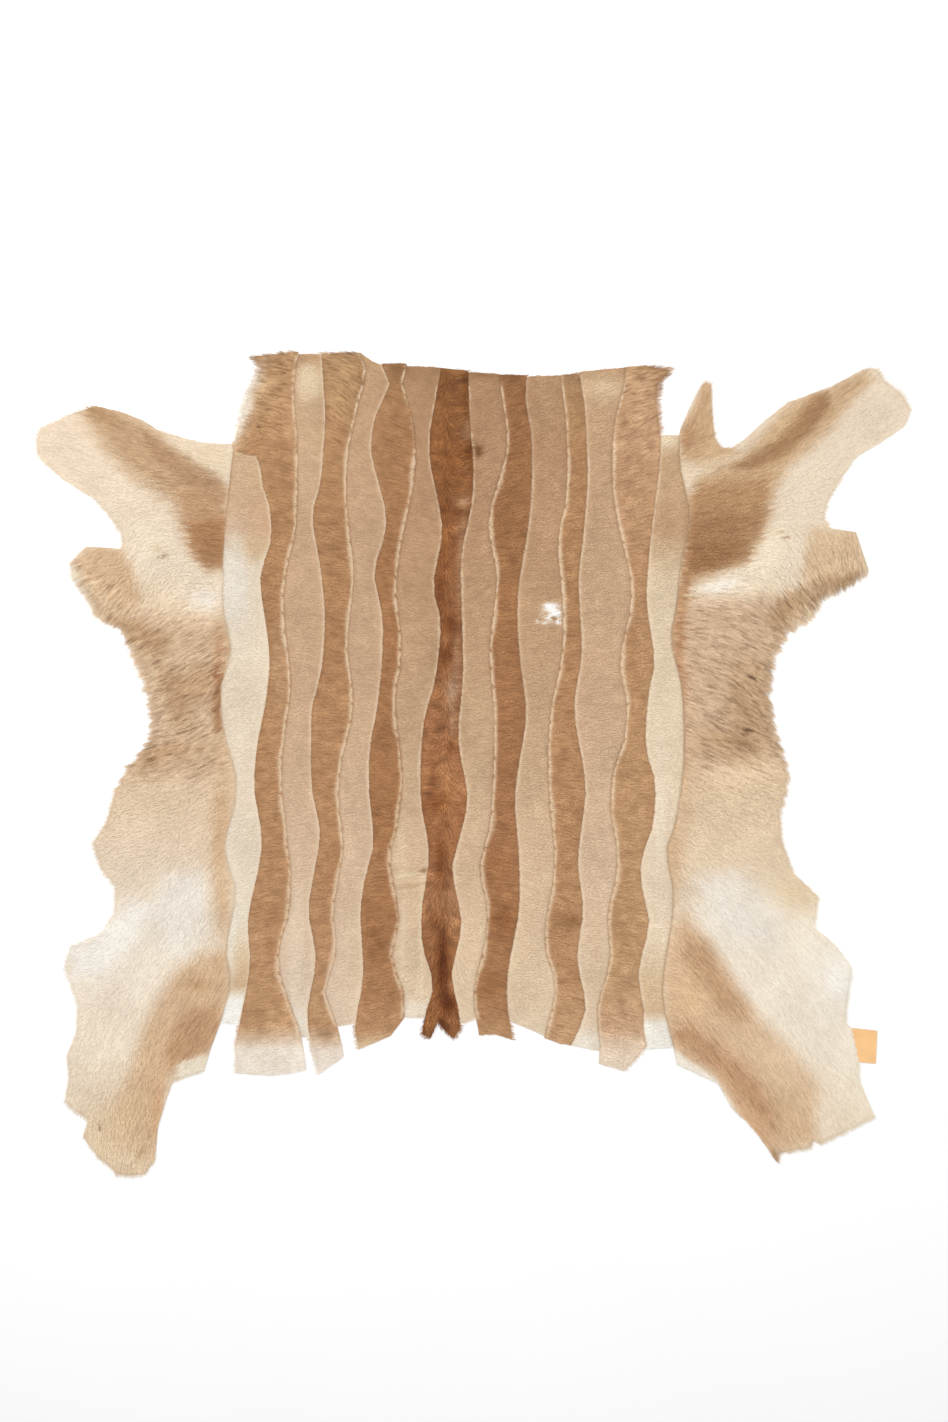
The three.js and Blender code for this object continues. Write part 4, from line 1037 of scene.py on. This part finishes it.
def lock_shape(cells, x, y, shag, lie, length, width, rng):
    """Corners and triangles of flat kite-shaped locks.

    Each has its root, two shoulders at about two fifths of its length and its tip. Its line rises from the
    root to about four fifths of the pile at the shoulders, then settles to about seven tenths at the tip.
    These heights vary most in shaggy hair. The roll sets one shoulder higher than the other.
    """
    count = len(x)
    u, v = lie
    top = cells.top[cells.cell(x, y)]
    top_ahead = cells.top[cells.cell(x + u * length, y + v * length)]
    free = top_ahead == 0
    # Past the rug's rim only the thin ends of the locks stand out
    at_rim = free & (cells.tip_side[cells.cell(x, y)] > (SEAM_REACH - 1) * MAP_CELL)
    width = np.where(at_rim, width * RIM_WIDTH, width)
    root, over = bed_height(top), bed_height(top_ahead)
    rough = 0.25 + 0.6 * shag
    crest = root + (top - root) * (0.8 + rough * rng.uniform(-0.4, 0.2, count))
    tip = over + (top_ahead - over) * (0.7 + rough * rng.uniform(-0.4, 0.25, count))
    tip = np.where(free, root * rng.uniform(0.4, 0.9, count), tip)
    roll = (0.06 + 0.10 * shag) * rng.uniform(-1, 1, count) * width
    reach = WIDEST_AT * length
    points = np.empty((count, 4, 3))
    points[:, 0] = np.stack([x, y, root - ROOT_DEPTH], 1)
    points[:, 1] = np.stack([x + u * reach + v * width / 2, y + v * reach - u * width / 2, crest - roll], 1)
    points[:, 2] = np.stack([x + u * reach - v * width / 2, y + v * reach + u * width / 2, crest + roll], 1)
    points[:, 3] = np.stack([x + u * length, y + v * length, tip], 1)
    corners = np.array([[0, 1, 2], [2, 1, 3]])
    triangles = (np.arange(count)[:, None, None] * 4 + corners).reshape(-1, 3)
    return points.reshape(-1, 3), triangles


def lock_colours(panel, cells, x, y, shag, lie, length, rng):
    """sRGB colours at the corners of each lock: the coat's, with streaks, clouds and the seams' edges."""
    u, v = lie
    across, down = grid_of(x, y)
    # A lock has the colour of the coat at its middle, a little further on in some streaks than in others
    shift = 2.0 if panel.endswith("flank") else 0.8
    shift = shift * cells.broad[cells.cell(x, y)] + 0.5 * rng.standard_normal(len(x))
    middle = 0.5 * length / STEP + shift
    colour = coat_colour(panel, across + u * middle, down - v * middle)
    cell = cells.cell(x + u * length * 0.5, y + v * length * 0.5)
    fine, broad = cells.fine[cell], cells.broad[cell]
    # Streaks and clouds are weaker on pale hair. Shade is painted in the gaps between locks, most in shaggy
    # hair.
    pale = smooth(colour.mean(1), 0.62, 0.84)
    streaks_and_gap_shade = (of_hair(panel, STREAKS_AND_GAP_SHADE, shag) + 0.05 * at_neck(panel, down)) * (1 - 0.7 * pale)
    clouds = HAIR_KINDS[kind_of(panel)][CLOUDS] * (1 - 0.5 * pale)
    tone = 1 + 0.018 * drift(across, down) + clouds * cells.mottle[cell]
    tone = tone + 0.30 * streaks_and_gap_shade * (fine + 0.5 * shag * broad)
    tone = tone - streaks_and_gap_shade * np.clip(-fine - 0.35, 0, 1.6)
    tone = tone - 0.3 * shag * streaks_and_gap_shade * np.clip(-broad - 0.3, 0, 1.8)
    tone = np.clip(tone + 0.3 * streaks_and_gap_shade + (0.010 + 0.04 * shag) * rng.standard_normal(len(x)), 0.3, 1.2)
    # The painted shade in the dark lines between locks is warmer than the tips
    colour = colour * tone[:, None] ** np.array(WARM_STROKES)
    colour = (colour[:, None] * np.array(CORNER_TONES)[:, None]).reshape(-1, 3)
    # The pale line is broad in places and thin in others, and the long hair of the neck hides it
    spread = np.clip(1 + 0.45 * drift(2.3 * across, 1.7 * down), 0.35, 1.6)
    spread = spread * (0.35 + 0.65 * smooth(down, 400, 470))
    ahead = (np.array([0.0, WIDEST_AT, WIDEST_AT, 1.0]) - 0.5) * length[:, None]
    root_side = (cells.root_side[cell][:, None] + ahead) / spread[:, None]
    tip_side = cells.tip_side[cell][:, None] - ahead
    return edged(panel, colour, root_side.ravel(), tip_side.ravel())


def hair_of(panel, number, cells, spacing, rng, only_shaggy):
    """Corners, triangles and colours of the locks of one panel, which lie along its hair."""
    x, y, shag = lock_roots(panel, number, cells, spacing, rng, only_shaggy)
    lie, length, width = lock_sizes(panel, number, cells, x, y, shag, rng)
    points, triangles = lock_shape(cells, x, y, shag, lie, length, width, rng)
    return points, triangles, lock_colours(panel, cells, x, y, shag, lie, length, rng)


class COWHIDE_OT_hair(bpy.types.Operator):
    """Grows the lying hair of each panel as locks that follow the coat's lie"""
    bl_idname = "cowhide.hair"
    bl_label = "Lying hair"

    def execute(self, context):
        sizes = context.scene.cowhide_sizes
        material = lying_hair()
        cells = part_map()
        for number, panel in enumerate(PANELS):
            flank = panel.endswith("flank")
            layers = [("hair", sizes.flank_spacing if flank else sizes.lock_spacing, False)]
            if flank:
                layers.append(("shag", sizes.shag_spacing, True))
            for layer, spacing, only_shaggy in layers:
                rng = np.random.default_rng(100 * len(layer) + number + only_shaggy)
                points, triangles, coat = hair_of(panel, number, cells, spacing, rng, only_shaggy)
                if len(triangles) >= MOST_TRIANGLES:
                    raise RuntimeError(f"{layer}_{panel} has {len(triangles)} triangles")
                hair = new_mesh_piece(f"{layer}_{panel}", points, triangles, [material], None,
                                      to_linear(coat))
                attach(hair, BODY)
        return {"FINISHED"}


def seam_lines(cells):
    """Lines of the seams between neighbouring panels, as places in metres.

    On the part map, a seam is where the cell of one panel touches the cell of the next. Along it, the middle
    of those cells is taken row by row, and then the mean of the rows on both sides evens out their steps.
    Only the seam across the fourth light strip runs the other way, so the map is turned for it.
    """
    cross_seam = [PANELS.index("light_strip_4_neck"), PANELS.index("light_strip_4_tail")]
    evened = 5  # rows on each side
    lines = []
    for turned in (False, True):
        panel = cells.panel.T if turned else cells.panel
        sides = np.sort(np.stack([panel[:-1], panel[1:]]), axis=0)
        column, row = np.nonzero((sides[0] != sides[1]) & (sides[0] != NOWHERE))
        pair = sides[:, column, row].T
        for both in np.unique(pair, axis=0):
            if turned != (list(both) == cross_seam):
                continue
            chosen = (pair == both).all(1)
            rows, index, count = np.unique(row[chosen], return_inverse=True, return_counts=True)
            middle = np.bincount(index, column[chosen]) / count + 0.5
            for part in np.split(np.arange(len(rows)), np.nonzero(np.diff(rows) > 4)[0] + 1):
                if len(part) * MAP_CELL < SHORTEST_SEAM:
                    continue
                padded = np.pad(middle[part], evened, mode="reflect", reflect_type="odd")
                even = np.convolve(padded, np.ones(2 * evened + 1) / (2 * evened + 1), "valid")
                places = np.stack([even, rows[part]], 1)
                lines.append((places[:, ::-1] if turned else places) * MAP_CELL + cells.low)
    return lines


class COWHIDE_OT_stitches(bpy.types.Operator):
    """Sews the panels together on their backs with a zigzag of waxed thread along each seam"""
    bl_idname = "cowhide.stitches"
    bl_label = "Seam stitches"

    def execute(self, context):
        sizes, colours = context.scene.cowhide_sizes, context.scene.cowhide_colours
        points, triangles, count = [], [], 0
        for line in seam_lines(part_map()):
            # Turning points lie by turns on both sides of the seam, and a square tube runs through them
            length = np.concatenate([[0], np.hypot(*np.diff(line, axis=0).T).cumsum()])
            at = np.arange(SEAM_END, length[-1] - SEAM_END, sizes.stitch)
            if len(at) < 4:
                continue
            middle = np.stack([np.interp(at, length, line[:, k]) for k in (0, 1)], 1)
            along = np.gradient(middle, axis=0)
            along /= np.linalg.norm(along, axis=1)[:, None]
            side = np.stack([along[:, 1], -along[:, 0]], 1)
            by_turns = np.where(np.arange(len(at)) % 2, 1, -1)[:, None]
            turns = middle + side * by_turns * sizes.stitch * ZIGZAG_REACH
            half = side * sizes.thread * THREAD_FLAT / 2
            low = np.full((len(at), 1), THREAD_PLAY[0])
            high = np.full((len(at), 1), THREAD_ROOM - THREAD_PLAY[1])
            rings = np.stack([np.hstack([turns - half, low]), np.hstack([turns + half, low]),
                              np.hstack([turns + half, high]), np.hstack([turns - half, high])], 1)
            first = (np.arange(len(at) - 1) * 4)[:, None]
            here, following = np.arange(4), np.roll(np.arange(4), -1)
            a, b, c, d = first + here, first + following, first + 4 + following, first + 4 + here
            sides = np.concatenate([np.stack([a, b, c], 2).reshape(-1, 3),
                                    np.stack([a, c, d], 2).reshape(-1, 3)])
            last = (len(at) - 1) * 4
            ends = np.array([[0, 2, 1], [0, 3, 2], [last, last + 1, last + 2], [last, last + 2, last + 3]])
            points.append(rings.reshape(-1, 3))
            triangles.append(np.concatenate([sides, ends]) + count)
            count += rings.shape[0] * 4
        points, triangles = np.concatenate(points), np.concatenate(triangles)
        thread = new_mesh_piece("seam_stitches", points, triangles, [waxed_thread(colours.thread)])
        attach(thread, BODY)
        return {"FINISHED"}


class COWHIDE_OT_tab(bpy.types.Operator):
    """Makes the plain leather tab under the edge of the hind leg"""
    bl_idname = "cowhide.tab"
    bl_label = "Leather tab"

    def execute(self, context):
        colours = context.scene.cowhide_colours
        points, triangles = triangle_soup(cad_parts["leather_tab"])
        walls = np.abs(facing(points, triangles)[:, 2]) < 0.5
        tab = new_mesh_piece("tab_leather", points, triangles,
                             [tanned_tab(colours.tab), edge_dye_and_shadow(colours.edge)], walls)
        tab.data.set_sharp_from_angle(angle=math.radians(40))
        # The bevel takes the dark edge material, which paints the dyed edge and a thin shadow along the
        # tab's edge
        edge = tab.modifiers.new("edge_dye_and_shadow", "BEVEL")
        edge.width = 0.0007
        edge.segments = 2
        edge.angle_limit = math.radians(40)
        edge.material = 1
        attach(tab, BODY)
        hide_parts("leather_tab")
        return {"FINISHED"}


def area_light(name, place, size, watts):
    """A square softbox that looks at the middle of the rug."""
    light = bpy.data.lights.new(name, "AREA")
    light.shape = "SQUARE"
    light.size = size
    light.energy = watts
    lamp = bpy.data.objects.new(name, light)
    x, y, z = place
    lamp.location = place
    lamp.rotation_euler = (math.atan2(math.hypot(x, y), z), 0, math.atan2(-y, -x) - math.pi / 2)
    bpy.context.scene.collection.objects.link(lamp)


class COWHIDE_OT_stage(bpy.types.Operator):
    """Lays the backdrop, sets the soft lights and hangs the camera over the rug"""
    bl_idname = "cowhide.stage"
    bl_label = "Studio"

    def execute(self, context):
        scene = context.scene
        # The floor is a level grid of square tiles, each of two triangles
        row = FLOOR_TILES + 1  # points
        lines = np.linspace(-FLOOR_HALF, FLOOR_HALF, row)
        u, v = np.meshgrid(lines, lines)
        points = np.stack([u.ravel(), v.ravel(), np.zeros(u.size)], 1)
        corner = (np.arange(FLOOR_TILES)[:, None] * row + np.arange(FLOOR_TILES)).ravel()
        triangles = np.concatenate([np.stack([corner, corner + 1, corner + row + 1], 1),
                                    np.stack([corner, corner + row + 1, corner + row], 1)])
        new_mesh_piece("floor", points, triangles, [studio_paper()])
        for name, place, size, watts in SOFTBOXES:
            area_light(name, place, size, watts)
        world = bpy.data.worlds.new("studio_air")
        world.use_nodes = True
        world.node_tree.nodes["Background"].inputs["Color"].default_value = (1, 1, 1, 1)
        world.node_tree.nodes["Background"].inputs["Strength"].default_value = AIR_LIGHT
        scene.world = world
        scene.view_settings.view_transform = "Standard"
        scene.view_settings.look = "None"
        # The camera hangs straight over the middle of the grid, so high that it sees the whole of it
        tall = PICTURE_HEIGHT * STEP
        lens = bpy.data.cameras.new("camera")
        lens.sensor_width = 36
        lens.lens = 85
        camera = bpy.data.objects.new("camera", lens)
        distance = tall * lens.lens / lens.sensor_width
        middle = (MIDDLE_DOWN - PICTURE_HEIGHT / 2) * STEP
        camera.location = (0, middle, distance + STRIP_HEIGHT)
        scene.collection.objects.link(camera)
        scene.camera = camera
        return {"FINISHED"}


class COWHIDE_PT_panel(bpy.types.Panel):
    """Lists the steps and sizes of the rug"""
    bl_idname = "COWHIDE_PT_panel"
    bl_label = "Cowhide rug"
    bl_space_type = "VIEW_3D"
    bl_region_type = "UI"
    bl_category = "Cowhide"

    def draw(self, context):
        for operator in OPERATORS:
            self.layout.operator(operator.bl_idname)
        for group in (context.scene.cowhide_sizes, context.scene.cowhide_colours):
            for name in group.bl_rna.properties.keys():
                if name not in ("rna_type", "name"):
                    self.layout.prop(group, name)


OPERATORS = (COWHIDE_OT_panels, COWHIDE_OT_hair, COWHIDE_OT_stitches, COWHIDE_OT_tab, COWHIDE_OT_stage)
CLASSES = (HideSizes, HideColours, *OPERATORS, COWHIDE_PT_panel)


def register():
    """Adds the classes, and their settings to the scene."""
    for cls in CLASSES:
        bpy.utils.register_class(cls)
    bpy.types.Scene.cowhide_sizes = bpy.props.PointerProperty(type=HideSizes)
    bpy.types.Scene.cowhide_colours = bpy.props.PointerProperty(type=HideColours)


def unregister():
    """Takes the settings and the classes away again."""
    del bpy.types.Scene.cowhide_colours
    del bpy.types.Scene.cowhide_sizes
    for cls in reversed(CLASSES):
        bpy.utils.unregister_class(cls)


def main():
    """Makes the rug and its studio."""
    register()
    bpy.ops.cowhide.panels()
    bpy.ops.cowhide.hair()
    bpy.ops.cowhide.stitches()
    bpy.ops.cowhide.tab()
    bpy.ops.cowhide.stage()


if __name__ == "__main__":
    main()
